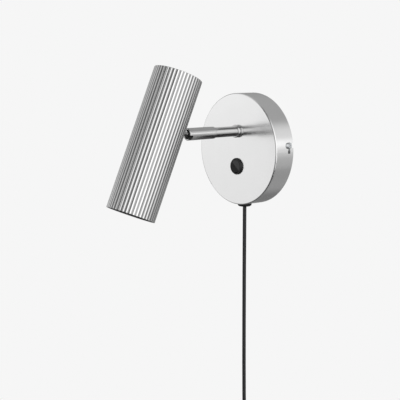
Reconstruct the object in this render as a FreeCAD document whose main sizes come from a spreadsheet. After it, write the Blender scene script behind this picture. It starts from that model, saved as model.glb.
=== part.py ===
"""Tube wall light: round wall cup, straight arm, ball swivel, fluted tube shade, corded plug.

Row frame: the origin is the centre of the wall cup on the wall, +Z is up, +X runs along the
wall and the lamp stands out towards -Y. Millimetres.
"""
import FreeCAD, Part
import math
import os
import re

from FreeCAD import Placement, Rotation, Vector
import Sketcher

os.makedirs("parts", exist_ok=True)
doc = FreeCAD.newDocument("tube_wall_light")

# ------------------------------------------------------------------ driving dimensions
SIZES = {
    # wall cup and the plate that it hooks on
    "cup_radius": 65.0, "cup_depth": 27.0, "cup_wall": 1.2, "cup_edge": 1.5,
    "hole_room": 0.1, "fit_room": 0.05,
    "plate_radius": 60.0, "plate_thick": 1.5, "plate_cable_hole": 9.0,
    "fixing_spacing": 60.0, "fixing_hole": 2.4,
    "lock_out": 7.6, "lock_angle": 6.4, "lock_thread": 2.0, "lock_head": 3.6,
    "lock_head_height": 2.2,
    "tab_width": 11.0, "tab_radius": 62.9, "tab_thick": 2.0, "tab_past_screw": 4.4, "tab_foot": 8.0,
    "notch_width": 5.8, "tail_width": 3.4, "tail_length": 9.0, "tail_drop": 2.6, "lock_length": 7.0,
    "relief_width": 14.0, "relief_height": 9.0, "relief_at": 42.0,
    "earth_across": 30.0, "earth_up": 24.0, "earth_thread": 2.0, "earth_washer": 0.9,
    # arm
    "arm_height": 21.0, "arm_radius": 6.0, "arm_bore": 4.2, "thread_radius": 5.0,
    "collar_radius": 7.5, "collar_length": 4.2, "collar_step": 1.6, "root_length": 11.0,
    "washer_radius": 8.2, "washer_thick": 0.8, "tooth_reach": 9.8, "tooth_count": 10,
    "nut_flats": 14.0, "nut_height": 4.0,
    "sleeve_start": 37.0, "sleeve_end": 76.0, "sleeve_radius": 7.0, "sleeve_edge": 1.1,
    "sleeve_rear_bore": 6.05, "sleeve_chamber": 5.6, "shoulder_at": 49.0, "shoulder_thick": 2.0,
    # ball swivel
    "ball_radius": 5.5, "ball_inset": 5.2, "seat_gap": 0.04, "slot_width": 5.6,
    "slot_depth": 4.6, "slot_angle": 29.0, "mouth_angle": 28.0, "mouth_gap": 0.35,
    "neck_radius": 2.6, "neck_bore": 1.7, "neck_end": 4.4, "clip_radius": 3.2,
    "bolt_length": 11.0, "bolt_head": 5.2, "bolt_head_height": 2.3, "bolt_bore": 2.4,
    "bolt_washer": 0.6, "washer_room": 0.7,
    "seat_depth": 7.0, "spring_wide": 5.2, "spring_narrow": 3.6, "spring_width": 0.6,
    "saddle_foot": 4.2, "saddle_radius": 6.0, "saddle_short": 3.2, "saddle_length": 8.0,
    # shade
    "shade_radius": 27.5, "shade_bore": 25.7, "shade_length": 162.0, "neck_below_top": 54.2,
    "flute_count": 42, "flute_depth": 0.9, "neck_reach": 43.1, "rest_tilt": 22.1,
    "rest_turn": 2.9, "cap_inset": 0.6, "cap_thick": 1.5, "trim_fit": 0.03, "lip_inset": 0.8,
    "lip_height": 12.2, "lip_width": 2.57,
    # lamp
    "strap_width": 12.0, "strap_thick": 1.2, "strap_drop": 14.0, "holder_height": 13.0,
    "holder_screw_at": 7.0, "holder_thread": 1.5, "holder_screw_length": 7.0,
    "bulb_radius": 25.0, "bulb_length": 50.0, "bulb_base": 15.0, "bulb_pin_spacing": 10.0,
    "bulb_rim": 3.0, "bulb_pin": 1.6, "bulb_pin_head": 2.5, "bulb_pin_length": 6.4,
    # switch
    "switch_height": -20.0, "bezel_radius": 9.7, "bezel_thick": 2.4, "switch_body": 8.7,
    "switch_depth": 12.0, "switch_floor": 5.6, "rocker_radius": 7.8, "rocker_angle": 40.0,
    "rocker_rise": 9.0, "rocker_crest": 2.4, "rocker_under": 2.8, "hub_radius": 1.0,
    "hub_length": 16.8, "blade_width": 4.8, "blade_thick": 0.8, "blade_length": 6.5,
    "blade_apart": 6.8,
    # terminal block and cord clamp inside the cup
    "pole_pitch": 8.2, "pole_width": 7.0, "pole_height": 11.0, "block_width": 26.0,
    "block_base": 5.0, "clamp_screw": 1.45, "clamp_screw_at": 3.6, "clamp_width": 24.0,
    "clamp_tall": 8.0, "bar_thick": 3.0, "bar_screw": 1.5, "bar_screw_at": 8.0,
    "bar_screw_length": 10.4, "grip": 0.4,
    # cord and plug
    "cord_radius": 2.2, "cord_out": 14.3, "gland_radius": 8.3, "gland_height": 3.4,
    "gland_stem": 5.0, "coil_pitch": 5.2, "coil_inner": 19.0, "coil_turns": 2.5,
    "plug_length": 34.0, "plug_width": 26.0, "plug_thick": 13.0,
    "plug_pin_radius": 2.0, "plug_pin_length": 19.0, "plug_pin_spacing": 18.6,
    "plug_neck_length": 8.0, "tie_width": 7.0, "tie_thick": 1.0, "tie_room": 0.4,
}
sheet = doc.addObject("Spreadsheet::Sheet", "sizes")
for row, (alias, value) in enumerate(SIZES.items(), start=1):
    sheet.set(f"A{row}", alias)
    sheet.set(f"B{row}", str(value))
    sheet.setAlias(f"B{row}", alias)
doc.recompute()


def cells(expression):
    """The expression with every size's name turned into its cell."""
    return re.sub(r"[a-z]\w+", lambda word: "sizes." + word.group(0)
                  if word.group(0) in SIZES else word.group(0), str(expression))


def size(alias):
    """The sheet's value of one driving dimension."""
    return float(sheet.get(alias))


def bind(obj, **properties):
    """Bind the object's properties to expressions of the sheet's cells."""
    for name, expression in properties.items():
        obj.setExpression(name.replace("__", "."), cells(expression))
    return obj


def shift(obj, across=0, up=0, along=0):
    """Bind an object's place to expressions, in its sub-part's own frame."""
    places = {"Placement__Base__x": across, "Placement__Base__y": up, "Placement__Base__z": along}
    return bind(obj, **{name: place for name, place in places.items() if place != 0})


# ------------------------------------------------------------------ shape helpers
def rod(name, radius, length, across=0, up=0, along=0):
    """A round bar along the frame's Z axis."""
    obj = doc.addObject("Part::Cylinder", name)
    bind(obj, Radius=radius, Height=length)
    return shift(obj, across, up, along)


def block(name, width, height, depth, across=0, up=0, along=0):
    """A box centred on X and Y that starts at `along` on Z."""
    obj = doc.addObject("Part::Box", name)
    bind(obj, Length=width, Width=height, Height=depth)
    return shift(obj, f"({across}) - ({width}) / 2", f"({up}) - ({height}) / 2", along)


def hexagon(name, flats, length, across=0, up=0, along=0):
    """A six-sided bar along Z with the given width across its flats."""
    obj = doc.addObject("Part::Prism", name)
    obj.Polygon = 6
    bind(obj, Circumradius=f"({flats}) / 1.7320508", Height=length)
    return shift(obj, across, up, along)


def turn(obj, axis, degrees):
    """Turn a tool about one axis of its frame, about its own base point."""
    obj.Placement = Placement(obj.Placement.Base, Rotation(axis, degrees))
    return obj


def join(name, shapes):
    """Fuse the shapes into one."""
    obj = doc.addObject("Part::MultiFuse", name)
    obj.Shapes = shapes
    return obj


def carve(name, base, tools):
    """Cut the tools out of the base."""
    obj = doc.addObject("Part::Cut", name)
    obj.Base = base
    obj.Tool = tools[0] if len(tools) == 1 else join(name + "_tools", tools)
    return obj


def turned(name, profile):
    """A lathe-turned body: a closed profile of (radius, along) corners spun about Z."""
    body = doc.addObject("PartDesign::Body", name)
    planes = {item.Role: item for item in body.Origin.OriginFeatures}
    sketch = body.newObject("Sketcher::SketchObject", name + "_profile")
    sketch.AttachmentSupport = [(planes["XZ_Plane"], "")]
    sketch.MapMode = "FlatFace"
    corners = []
    for radius, along in profile:
        corners.append(Vector(number(radius), number(along), 0))
    last = len(corners) - 1
    for index, corner in enumerate(corners):
        following = corners[0 if index == last else index + 1]
        sketch.addGeometry(Part.LineSegment(corner, following), False)
    for index in range(len(corners)):
        sketch.addConstraint(Sketcher.Constraint("Coincident", index, 2, (index + 1) % len(corners), 1))
    for index, (radius, along) in enumerate(profile):
        pin_corner(sketch, index, "DistanceX", radius, -2)
        pin_corner(sketch, index, "DistanceY", along, -1)
    spin = body.newObject("PartDesign::Revolution", name + "_spin")
    spin.Profile = sketch
    spin.ReferenceAxis = (sketch, ["V_Axis"])
    spin.Angle = 360.0
    body.Tip = spin
    doc.recompute()
    return body


def number(expression):
    """The value of an expression of size names."""
    text = re.sub(r"[a-z]\w+", lambda word: repr(size(word.group(0))), str(expression))
    total = doc.addObject("App::FeaturePython", "reckoner")
    total.addProperty("App::PropertyFloat", "Answer")
    total.setExpression("Answer", text)
    total.recompute()
    answer = total.Answer
    doc.removeObject(total.Name)
    return answer


def pin_corner(sketch, index, kind, expression, zero_line):
    """Hold one corner at its distance from the origin, or on the axis where that is zero."""
    value = number(expression)
    if abs(value) < 1e-9:
        sketch.addConstraint(Sketcher.Constraint("PointOnObject", index, 1, zero_line))
        return
    place = sketch.addConstraint(Sketcher.Constraint(kind, -1, 1, index, 1, value))
    sketch.setExpression(f"Constraints[{place}]", cells(expression))


def rounded(name, body, circles, radius):
    """Round the circular edges of a turned body that lie at the given (radius, along) places."""
    places = [(number(ring), number(along)) for ring, along in circles]
    edges = []
    for index, edge in enumerate(body.Shape.Edges, start=1):
        curve = edge.Curve
        if not hasattr(curve, "Radius"):
            continue
        for ring, along in places:
            if abs(curve.Radius - ring) < 1e-4 and abs(curve.Center.z - along) < 1e-4:
                edges.append(f"Edge{index}")
    base = body.Tip
    fillet = body.newObject("PartDesign::Fillet", name + "_rounding")
    fillet.Base = (base, sorted(set(edges)))
    bind(fillet, Radius=radius)
    body.Tip = fillet
    doc.recompute()
    return body


# ------------------------------------------------------------------ frames
X_AXIS = Vector(1, 0, 0)
Y_AXIS = Vector(0, 1, 0)
Z_AXIS = Vector(0, 0, 1)
QUARTER = 90.0
FACING_OUT = Rotation(X_AXIS, QUARTER)
UPSIDE_DOWN = Rotation(X_AXIS, 180.0)

wall_frame = Placement(Vector(0, 0, 0), FACING_OUT)
arm_frame = Placement(Vector(0, -size("cup_depth"), size("arm_height")), FACING_OUT)
switch_frame = Placement(Vector(0, -size("cup_depth"), size("switch_height")),
                         FACING_OUT * Rotation(Z_AXIS, -size("rocker_angle")))
ball_along = size("sleeve_end") - size("ball_inset")
ball_centre = Vector(0, -size("cup_depth") - ball_along, size("arm_height"))
sleeve_frame = arm_frame * Placement(Vector(), Rotation(Z_AXIS, -size("rest_turn")))
neck_frame = Placement(ball_centre, sleeve_frame.Rotation * Rotation(X_AXIS, -size("rest_tilt")))
shade_frame = (neck_frame * Placement(Vector(0, 0, size("neck_reach")), Rotation(X_AXIS, -QUARTER)))
cord_top = Vector(0, -size("cord_out"), -size("cup_radius"))
gland_frame = Placement(cord_top, UPSIDE_DOWN)

nodes = []


def keep(obj, label, place):
    """Name a finished sub-part and put it in its place."""
    obj.Label = label
    obj.Placement = place
    nodes.append(obj)
    return obj


# ------------------------------------------------------------------ wall side
def wall_plate():
    """Steel disc screwed to the wall, with two bent tabs that hold the cup's lock screws."""
    disc = rod("plate_disc", "plate_radius", "plate_thick")
    cable_hole = rod("plate_cable", "plate_cable_hole", "plate_thick")
    solids = [disc]
    tools = [cable_hole,
             block("plate_relief", "relief_width", "relief_height", "plate_thick", 0, "relief_at"),
             rod("plate_earth_thread", "earth_thread", "plate_thick", "earth_across", "earth_up")]
    for side in (-1, 1):
        tools.append(rod(f"plate_fixing_{side + 1}", "fixing_hole", "plate_thick",
                         f"{side} * fixing_spacing / 2"))
    turned_way = Rotation(Z_AXIS, size("lock_angle"))
    for side in (0, 180):
        tab = doc.addObject("Part::Box", f"plate_tab_{side}")
        bind(tab, Length="tab_thick", Width="tab_width", Height="lock_out + tab_past_screw")
        foot = doc.addObject("Part::Box", f"plate_foot_{side}")
        bind(foot, Length="tab_radius - plate_radius + tab_foot", Width="tab_width",
             Height="plate_thick")
        bore = doc.addObject("Part::Cylinder", f"plate_tab_bore_{side}")
        bind(bore, Radius="lock_thread", Height="tab_thick + 10")
        way = turned_way * Rotation(Z_AXIS, side)
        inner = size("tab_radius") - size("tab_thick")
        half = size("tab_width") / 2
        tab.Placement = Placement(way.multVec(Vector(inner, -half, 0)), way)
        foot_start = Vector(size("plate_radius") - size("tab_foot"), -half, 0)
        foot.Placement = Placement(way.multVec(foot_start), way)
        bore.Placement = Placement(way.multVec(Vector(inner - 5, 0, size("lock_out"))),
                                   way * Rotation(Y_AXIS, QUARTER))
        solids += [tab, foot]
        tools.append(bore)
    keep(carve("plate", join("plate_solid", solids), tools), "wall_plate", wall_frame)


def canopy_cup():
    """Spun steel wall cup, open at the wall, with arm, switch and cord holes and two J slots."""
    body = turned("cup", [("cup_radius", 0), ("cup_radius", "cup_depth"), (0, "cup_depth"),
                          (0, "cup_depth - cup_wall"), ("cup_radius - cup_wall", "cup_depth - cup_wall"),
                          ("cup_radius - cup_wall", 0)])
    rounded("cup", body, [("cup_radius", "cup_depth")], "cup_edge")
    tools = [rod("cup_arm_hole", "thread_radius + hole_room", "cup_wall * 3", 0, "arm_height",
                 "cup_depth - cup_wall * 2"),
             rod("cup_switch_hole", "switch_body + hole_room", "cup_wall * 3", 0, "switch_height",
                 "cup_depth - cup_wall * 2")]
    gland_hole = rod("cup_gland_hole", "gland_stem + hole_room", "cup_wall * 4", 0,
                     "-cup_radius + cup_wall * 2", "cord_out")
    tools.append(turn(gland_hole, X_AXIS, QUARTER))
    reach, inside, below = 8.0, 5.0, 0.4
    for side in (0, 180):
        notch = doc.addObject("Part::Box", f"cup_notch_{side}")
        bind(notch, Length=reach, Width="notch_width", Height=size("lock_out") + below)
        end = doc.addObject("Part::Cylinder", f"cup_notch_end_{side}")
        bind(end, Radius="notch_width / 2", Height=reach)
        tail = doc.addObject("Part::Box", f"cup_tail_{side}")
        bind(tail, Length=reach, Width="tail_length", Height="tail_width")
        way = Rotation(Z_AXIS, size("lock_angle") + side)
        start = size("cup_radius") - inside
        half = size("notch_width") / 2
        notch.Placement = Placement(way.multVec(Vector(start, -half, -below)), way)
        end.Placement = Placement(way.multVec(Vector(start, 0, size("lock_out"))),
                                  way * Rotation(Y_AXIS, QUARTER))
        tail_foot = Vector(start, -size("tail_length"), size("lock_out") - size("tail_drop"))
        tail.Placement = Placement(way.multVec(tail_foot), way)
        tools += [notch, end, tail]
    keep(carve("cup_holes", body, tools), "canopy_cup", wall_frame)


def pan_screw(name, thread, thread_length, head, head_height, slot="bar"):
    """A pan-head screw along Z: its head starts at zero and the thread runs back from it."""
    flank, crown, slot_reach, slot_share = 0.55, 0.72, 1.2, 0.26
    shank = rod(name + "_shank", thread, thread_length, 0, 0, f"-({thread_length})")
    cap = turned(name + "_head", [(0, 0), (head, 0), (head, f"({head_height}) * {flank}"),
                                  (f"({head}) * {crown}", head_height), (0, head_height)])
    whole = join(name + "_solid", [shank, cap])
    long_way = f"({head}) * {slot_reach}"
    short_way = f"({head}) * {slot_share}"
    half_deep = f"({head_height}) / 2"
    bars = [block(f"{name}_bar_0", long_way, short_way, head_height, 0, 0, half_deep)]
    if slot == "cross":
        bars.append(block(f"{name}_bar_1", short_way, long_way, head_height, 0, 0, half_deep))
    return carve(name, whole, bars)


def group(name, shapes):
    """Separate solids of one kind kept as one sub-part."""
    obj = doc.addObject("Part::Compound", name)
    obj.Links = shapes
    return obj


def cup_lock_screws():
    """The two radial screws whose heads clamp the cup's rim beside its notches."""
    screws = []
    for side in (0, 180):
        screw = pan_screw(f"lock_screw_{side}", "lock_thread", "lock_length", "lock_head",
                          "lock_head_height", "cross")
        way = Rotation(Z_AXIS, size("lock_angle") + side)
        screw.Placement = Placement(way.multVec(Vector(size("cup_radius"), 0, size("lock_out"))),
                                    way * Rotation(Y_AXIS, QUARTER))
        screws.append(screw)
    keep(group("lock_screws", screws), "cup_lock_screws", wall_frame)


# ------------------------------------------------------------------ arm
def arm_collar():
    """Full-round polished ring that covers the arm's hole in the cup."""
    body = turned("collar", [("thread_radius + fit_room", 0), ("collar_radius", 0),
                             ("collar_radius", "collar_length"),
                             ("arm_radius + fit_room", "collar_length"),
                             ("arm_radius + fit_room", "collar_step"),
                             ("thread_radius + fit_room", "collar_step")])
    rounded("collar_back", body, [("collar_radius", 0)], "collar_length * 0.4")
    rounded("collar", body, [("collar_radius", "collar_length")], "collar_length * 0.28")
    keep(body, "arm_collar", arm_frame)


def arm_tube():
    """Straight arm tube: threaded root through the cup, plain tube into the swivel sleeve."""
    body = turned("arm", [("arm_bore", "-root_length"), ("thread_radius", "-root_length"),
                          ("thread_radius", "collar_step"),
                          ("arm_radius", "collar_step"), ("arm_radius", "shoulder_at - 0.1"),
                          ("arm_bore", "shoulder_at - 0.1")])
    keep(body, "arm_tube", arm_frame)


def arm_fixings():
    """Toothed washer and hexagon nut that clamp the arm inside the cup."""
    ring = rod("tooth_ring", "washer_radius", "washer_thick")
    teeth = [ring]
    count = int(size("tooth_count"))
    long, wide = 2.2, 2.4
    for index in range(count):
        tooth = doc.addObject("Part::Box", f"tooth_{index}")
        bind(tooth, Length=long, Width=wide, Height="washer_thick")
        way = Rotation(Z_AXIS, 360.0 / count * index)
        foot = Vector(size("tooth_reach") - long, -wide / 2, 0)
        tooth.Placement = Placement(way.multVec(foot), way)
        teeth.append(tooth)
    bore = rod("tooth_bore", "thread_radius + fit_room", "washer_thick")
    washer = carve("tooth_washer", join("tooth_solid", teeth), [bore])
    washer_at = -size("cup_wall") - size("washer_thick")
    keep(washer, "arm_toothed_washer", arm_frame * Placement(Vector(0, 0, washer_at), Rotation()))
    nut = carve("arm_nut", hexagon("arm_nut_hex", "nut_flats", "nut_height"),
                [rod("arm_nut_bore", "thread_radius", "nut_height")])
    nut_at = washer_at - size("nut_height")
    keep(nut, "arm_lock_nut", arm_frame * Placement(Vector(0, 0, nut_at), Rotation()))
    flange, stem, wall = 1, 7, 1.2
    bush = turned("wire_bush_turned", [(f"arm_bore - {wall}", 0), ("thread_radius", 0),
                                       ("thread_radius", flange), ("arm_bore", flange),
                                       ("arm_bore", stem), (f"arm_bore - {wall}", stem)])
    bush_at = -size("root_length") - flange
    keep(bush, "wire_bush", arm_frame * Placement(Vector(0, 0, bush_at), Rotation()))


# ------------------------------------------------------------------ ball swivel
def swivel_socket():
    """Steel sleeve that turns on the arm and holds the ball in a flared, slotted mouth."""
    body = turned("socket", [("sleeve_rear_bore", "sleeve_start"), ("sleeve_radius", "sleeve_start"),
                             ("sleeve_radius", "sleeve_end"), (0, "sleeve_end"),
                             (0, "shoulder_at + shoulder_thick"),
                             ("thread_radius - 0.85", "shoulder_at + shoulder_thick"),
                             ("thread_radius - 0.85", "shoulder_at"),
                             ("sleeve_rear_bore", "shoulder_at")])
    rounded("socket_rear", body, [("sleeve_radius", "sleeve_start")], "sleeve_edge * 0.7")
    rounded("socket_front", body, [("sleeve_radius", "sleeve_end")], "sleeve_edge")
    ball_at = "sleeve_end - ball_inset"
    chamber = rod("socket_chamber", "sleeve_chamber",
                  f"({ball_at}) - shoulder_at - shoulder_thick", 0, 0, "shoulder_at + shoulder_thick")
    seat = doc.addObject("Part::Sphere", "socket_seat")
    bind(seat, Radius="ball_radius + seat_gap")
    shift(seat, 0, 0, ball_at)
    mouth = doc.addObject("Part::Cone", "socket_mouth")
    flare = "tan(mouth_angle * 1deg)"
    bind(mouth, Radius1="neck_radius + mouth_gap", Height="ball_inset + 0.6",
         Radius2=f"neck_radius + mouth_gap + (ball_inset + 0.6) * {flare}")
    shift(mouth, 0, 0, ball_at)
    slot = doc.addObject("Part::Box", "socket_slot")
    bind(slot, Length="sleeve_radius + 5", Width="slot_width", Height="slot_depth")
    slot_end = doc.addObject("Part::Cylinder", "socket_slot_end")
    bind(slot_end, Radius="slot_width / 2", Height="sleeve_radius + 5")
    way = Rotation(Z_AXIS, -size("slot_angle"))
    half = size("slot_width") / 2
    round_end = number("sleeve_end - slot_depth + slot_width / 2")
    slot.Placement = Placement(way.multVec(Vector(0, -half, round_end)), way)
    slot_end.Placement = Placement(Vector(0, 0, round_end), way * Rotation(Y_AXIS, QUARTER))
    cut = carve("socket_cut", body, [chamber, seat, mouth, slot, slot_end])
    keep(cut, "swivel_socket", sleeve_frame)


def swivel_bolt():
    """Hollow bolt in the arm's end that keeps the sleeve on and lets it turn."""
    top = size("shoulder_at") + size("shoulder_thick")
    under_head = "bolt_length + washer_room"
    shank = "arm_bore - hole_room"
    body = turned("bolt", [("bolt_bore", 0), (shank, 0), (shank, under_head),
                           ("bolt_head", under_head),
                           ("bolt_head", f"{under_head} + bolt_head_height"),
                           ("bolt_bore", f"{under_head} + bolt_head_height")])
    bolt_at = top - size("bolt_length")
    keep(body, "swivel_bolt", arm_frame * Placement(Vector(0, 0, bolt_at), Rotation()))
    washer = turned("bolt_washer", [("arm_bore", 0), ("bolt_head + hole_room", 0),
                                    ("bolt_head + hole_room", "bolt_washer"),
                                    ("arm_bore", "bolt_washer")])
    keep(washer, "swivel_washer", sleeve_frame * Placement(Vector(0, 0, top + 0.05), Rotation()))


def ball_parts():
    """Friction cup and spring behind the ball, and the drilled ball itself."""
    rim = "sleeve_chamber - fit_room"
    cup = turned("seat", [("bolt_bore", 0), (rim, 0), (rim, "seat_depth - 2"),
                          ("bolt_bore", "seat_depth - 2")])
    hollow = doc.addObject("Part::Sphere", "seat_hollow")
    bind(hollow, Radius="ball_radius + seat_gap")
    shift(hollow, 0, 0, "seat_depth")
    seat_at = ball_along - size("seat_depth")
    keep(carve("seat_cut", cup, [hollow]), "ball_seat",
         sleeve_frame * Placement(Vector(0, 0, seat_at), Rotation()))
    bolt_room, count = 3.2, 4
    start = size("shoulder_at") + size("shoulder_thick") + bolt_room
    ring_gap = (seat_at - size("hole_room") - start) / count
    rings = []
    for index in range(count):
        first, second = "spring_wide", "spring_narrow"
        if index % 2:
            first, second = second, first
        cone = doc.addObject("Part::Cone", f"disc_spring_{index}")
        bind(cone, Radius1=first, Radius2=second, Height=ring_gap - size("hole_room"))
        bore = doc.addObject("Part::Cone", f"disc_spring_bore_{index}")
        bind(bore, Radius1=f"{first} - spring_width", Radius2=f"{second} - spring_width",
             Height=ring_gap - size("hole_room"))
        ring = carve(f"disc_spring_cut_{index}", cone, [bore])
        ring.Placement = Placement(Vector(0, 0, start + ring_gap * index), Rotation())
        rings.append(ring)
    keep(group("disc_springs", rings), "seat_springs", sleeve_frame)
    ball = doc.addObject("Part::Sphere", "ball_solid")
    bind(ball, Radius="ball_radius")
    tools = [rod("ball_bore", "neck_radius + fit_room", "ball_radius * 2.4", 0, 0,
                 "-ball_radius * 1.2"),
             rod("ball_recess", "clip_radius + 0.2", 4, 0, 0, "-ball_radius - 2")]
    keep(carve("ball_cut", ball, tools), "swivel_ball", neck_frame)


def neck_parts():
    """Hollow neck that turns in the ball, its retaining clip, saddle and nut at the shade."""
    wall = "neck_reach - shade_bore"
    past_shade = f"{wall} + 5"
    neck = turned("neck", [("neck_bore", "-neck_end"), ("neck_radius", "-neck_end"),
                           ("neck_radius", past_shade), ("neck_bore", past_shade)])
    keep(neck, "neck_tube", neck_frame)
    back, front = "-neck_end + 0.1", "-neck_end + 0.85"
    clip = turned("clip", [("neck_radius", back), ("clip_radius", back), ("clip_radius", front),
                           ("neck_radius", front)])
    keep(clip, "neck_clip", neck_frame)
    slip, flare = 0.02, 2.6
    shell = turned("saddle", [(f"neck_radius + {slip}", 0), ("saddle_foot", 0),
                              ("saddle_radius", flare), ("saddle_radius", "saddle_length"),
                              (f"neck_radius + {slip}", "saddle_length")])
    bed_length = 40.0
    bed = doc.addObject("Part::Cylinder", "saddle_bed")
    bind(bed, Radius=f"shade_radius + {slip}", Height=bed_length)
    bed.Placement = Placement(Vector(0, -bed_length / 2, size("neck_reach") - saddle_base()),
                              Rotation(X_AXIS, -QUARTER))
    keep(carve("saddle_cut", shell, [bed]), "neck_saddle",
         neck_frame * Placement(Vector(0, 0, saddle_base()), Rotation()))
    inner = size("neck_reach") - strap_face() + size("strap_thick")
    flats, height = 9.0, 2.6
    nut = carve("neck_nut_cut", hexagon("neck_nut_hex", flats, height),
                [rod("neck_nut_bore", "neck_radius", height)])
    keep(nut, "neck_nut", neck_frame * Placement(Vector(0, 0, inner), Rotation()))


def saddle_base():
    """Where the saddle starts on the neck, a little short of the shade's ridges."""
    return size("neck_reach") - size("shade_radius") - size("saddle_short")


def strap_face():
    """Distance from the shade's axis to the strap's face, which spans the bore as a chord."""
    return math.sqrt(size("shade_bore") ** 2 - (size("strap_width") / 2) ** 2) - size("hole_room")


# ------------------------------------------------------------------ shade
def fluted_outline():
    """Closed wave of arcs: a ridge and a groove for each flute."""
    count = int(size("flute_count"))
    ridge = size("shade_radius")
    groove = ridge - size("flute_depth")
    middle = (ridge + groove) / 2
    step = math.tau / count

    def spot(radius, angle):
        return Vector(radius * math.cos(angle), radius * math.sin(angle), 0)

    arcs = []
    for index in range(count):
        start = step * index
        arcs.append(Part.Arc(spot(middle, start), spot(ridge, start + step / 4),
                             spot(middle, start + step / 2)).toShape())
        arcs.append(Part.Arc(spot(middle, start + step / 2), spot(groove, start + step * 3 / 4),
                             spot(middle, start + step)).toShape())
    return Part.Wire(arcs)


def shade_tube():
    """Fluted aluminium tube, open at both ends, drilled once for the neck."""
    length = size("shade_length")
    bottom = size("neck_below_top") - length
    outer = Part.Face(fluted_outline())
    ring = Part.Circle(Vector(0, 0, 0), Z_AXIS, size("shade_bore"))
    bore = Part.Face(Part.Wire([ring.toShape()]))
    tube = outer.cut(bore).extrude(Vector(0, 0, length))
    tube.translate(Vector(0, 0, bottom))
    reach, inside = 12.0, 5.0
    foot = Vector(0, size("shade_bore") - inside, 0)
    neck_hole = Part.makeCylinder(size("neck_radius") + size("hole_room"), reach, foot, Y_AXIS)
    feature = doc.addObject("Part::Feature", "fluted_tube")
    feature.Shape = tube.cut(neck_hole)
    keep(feature, "shade_tube", shade_frame)


def shade_trim():
    """Top disc and the black ring inside the mouth."""
    outside = "neck_below_top - cap_inset"
    under = f"{outside} - cap_thick"
    edge = "shade_bore - trim_fit"
    cap = turned("cap", [(0, under), (edge, under), (edge, outside), (0, outside)])
    keep(cap, "shade_top_disc", shade_frame)
    mouth = "neck_below_top - shade_length + lip_inset"
    thin, narrow = "shade_bore - 1.1", f"{edge} - lip_width"
    ring = turned("ring", [(thin, mouth), (edge, mouth), (edge, f"{mouth} + lip_height"),
                           (narrow, f"{mouth} + lip_height"), (narrow, f"{mouth} + lip_height - 0.8")])
    keep(ring, "mouth_baffle", shade_frame)


def lamp_strap():
    """Bent steel strap from the neck nut to the lampholder."""
    face = strap_face()
    above, past = 8.0, 11.0
    upright = block("strap_up", "strap_width", "strap_thick", f"strap_drop + {above}", 0,
                    f"{face} - strap_thick / 2", "-strap_drop")
    leg = block("strap_leg", "strap_width", f"{face} + {past}", "strap_thick", 0,
                f"({face} - {past}) / 2", "-strap_drop")
    hole = rod("strap_hole", "neck_radius + fit_room", above, 0, f"{face} + 3")
    tools = [turn(hole, X_AXIS, QUARTER)]
    for side in (-1, 1):
        tools.append(rod(f"strap_screw_hole_{side + 1}", "holder_thread + hole_room",
                         "strap_thick * 3", 0, f"{side} * holder_screw_at",
                         "-strap_drop - strap_thick"))
    keep(carve("strap", join("strap_bent", [upright, leg]), tools), "lamp_strap", shade_frame)


def lampholder():
    """Ceramic twist-lock holder under the strap, with its two screws."""
    low = "-strap_drop - holder_height"
    body = doc.addObject("PartDesign::Body", "holder")
    planes = {item.Role: item for item in body.Origin.OriginFeatures}
    sketch = body.newObject("Sketcher::SketchObject", "holder_outline")
    sketch.AttachmentSupport = [(planes["XY_Plane"], "")]
    sketch.MapMode = "FlatFace"
    radius = number("bulb_base - 1")
    sketch.addGeometry(Part.Circle(Vector(0, 0, 0), Z_AXIS, radius), False)
    sketch.addConstraint(Sketcher.Constraint("Coincident", 0, 3, -1, 1))
    ring = sketch.addConstraint(Sketcher.Constraint("Radius", 0, radius))
    sketch.setExpression(f"Constraints[{ring}]", cells("bulb_base - 1"))
    pad = body.newObject("PartDesign::Pad", "holder_pad")
    pad.Profile = sketch
    bind(pad, Length="holder_height")
    body.Tip = pad
    doc.recompute()
    edge, socket_depth = 1.2, 8.0
    rounded("holder", body, [("bulb_base - 1", "holder_height")], edge)
    tools = []
    for side in (-1, 1):
        tools.append(rod(f"holder_socket_{side + 1}", "bulb_pin_head + 0.2", socket_depth,
                         f"{side} * bulb_pin_spacing / 2"))
        tools.append(rod(f"holder_thread_{side + 1}", "holder_thread", "holder_screw_length", 0,
                         f"{side} * holder_screw_at", "holder_height - holder_screw_length"))
    holder = carve("holder_cut", body, tools)
    keep(holder, "lampholder", shade_frame * Placement(Vector(0, 0, number(low)), Rotation()))
    screws = []
    for side in (-1, 1):
        head, head_height = 2.9, 1.8
        screw = pan_screw(f"holder_screw_{side + 1}", "holder_thread", "holder_screw_length",
                          head, head_height)
        spot = Vector(0, side * size("holder_screw_at"), size("strap_thick") - size("strap_drop"))
        screw.Placement = Placement(spot, Rotation())
        screws.append(screw)
    keep(group("holder_screw_pair", screws), "lampholder_screws", shade_frame)


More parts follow.
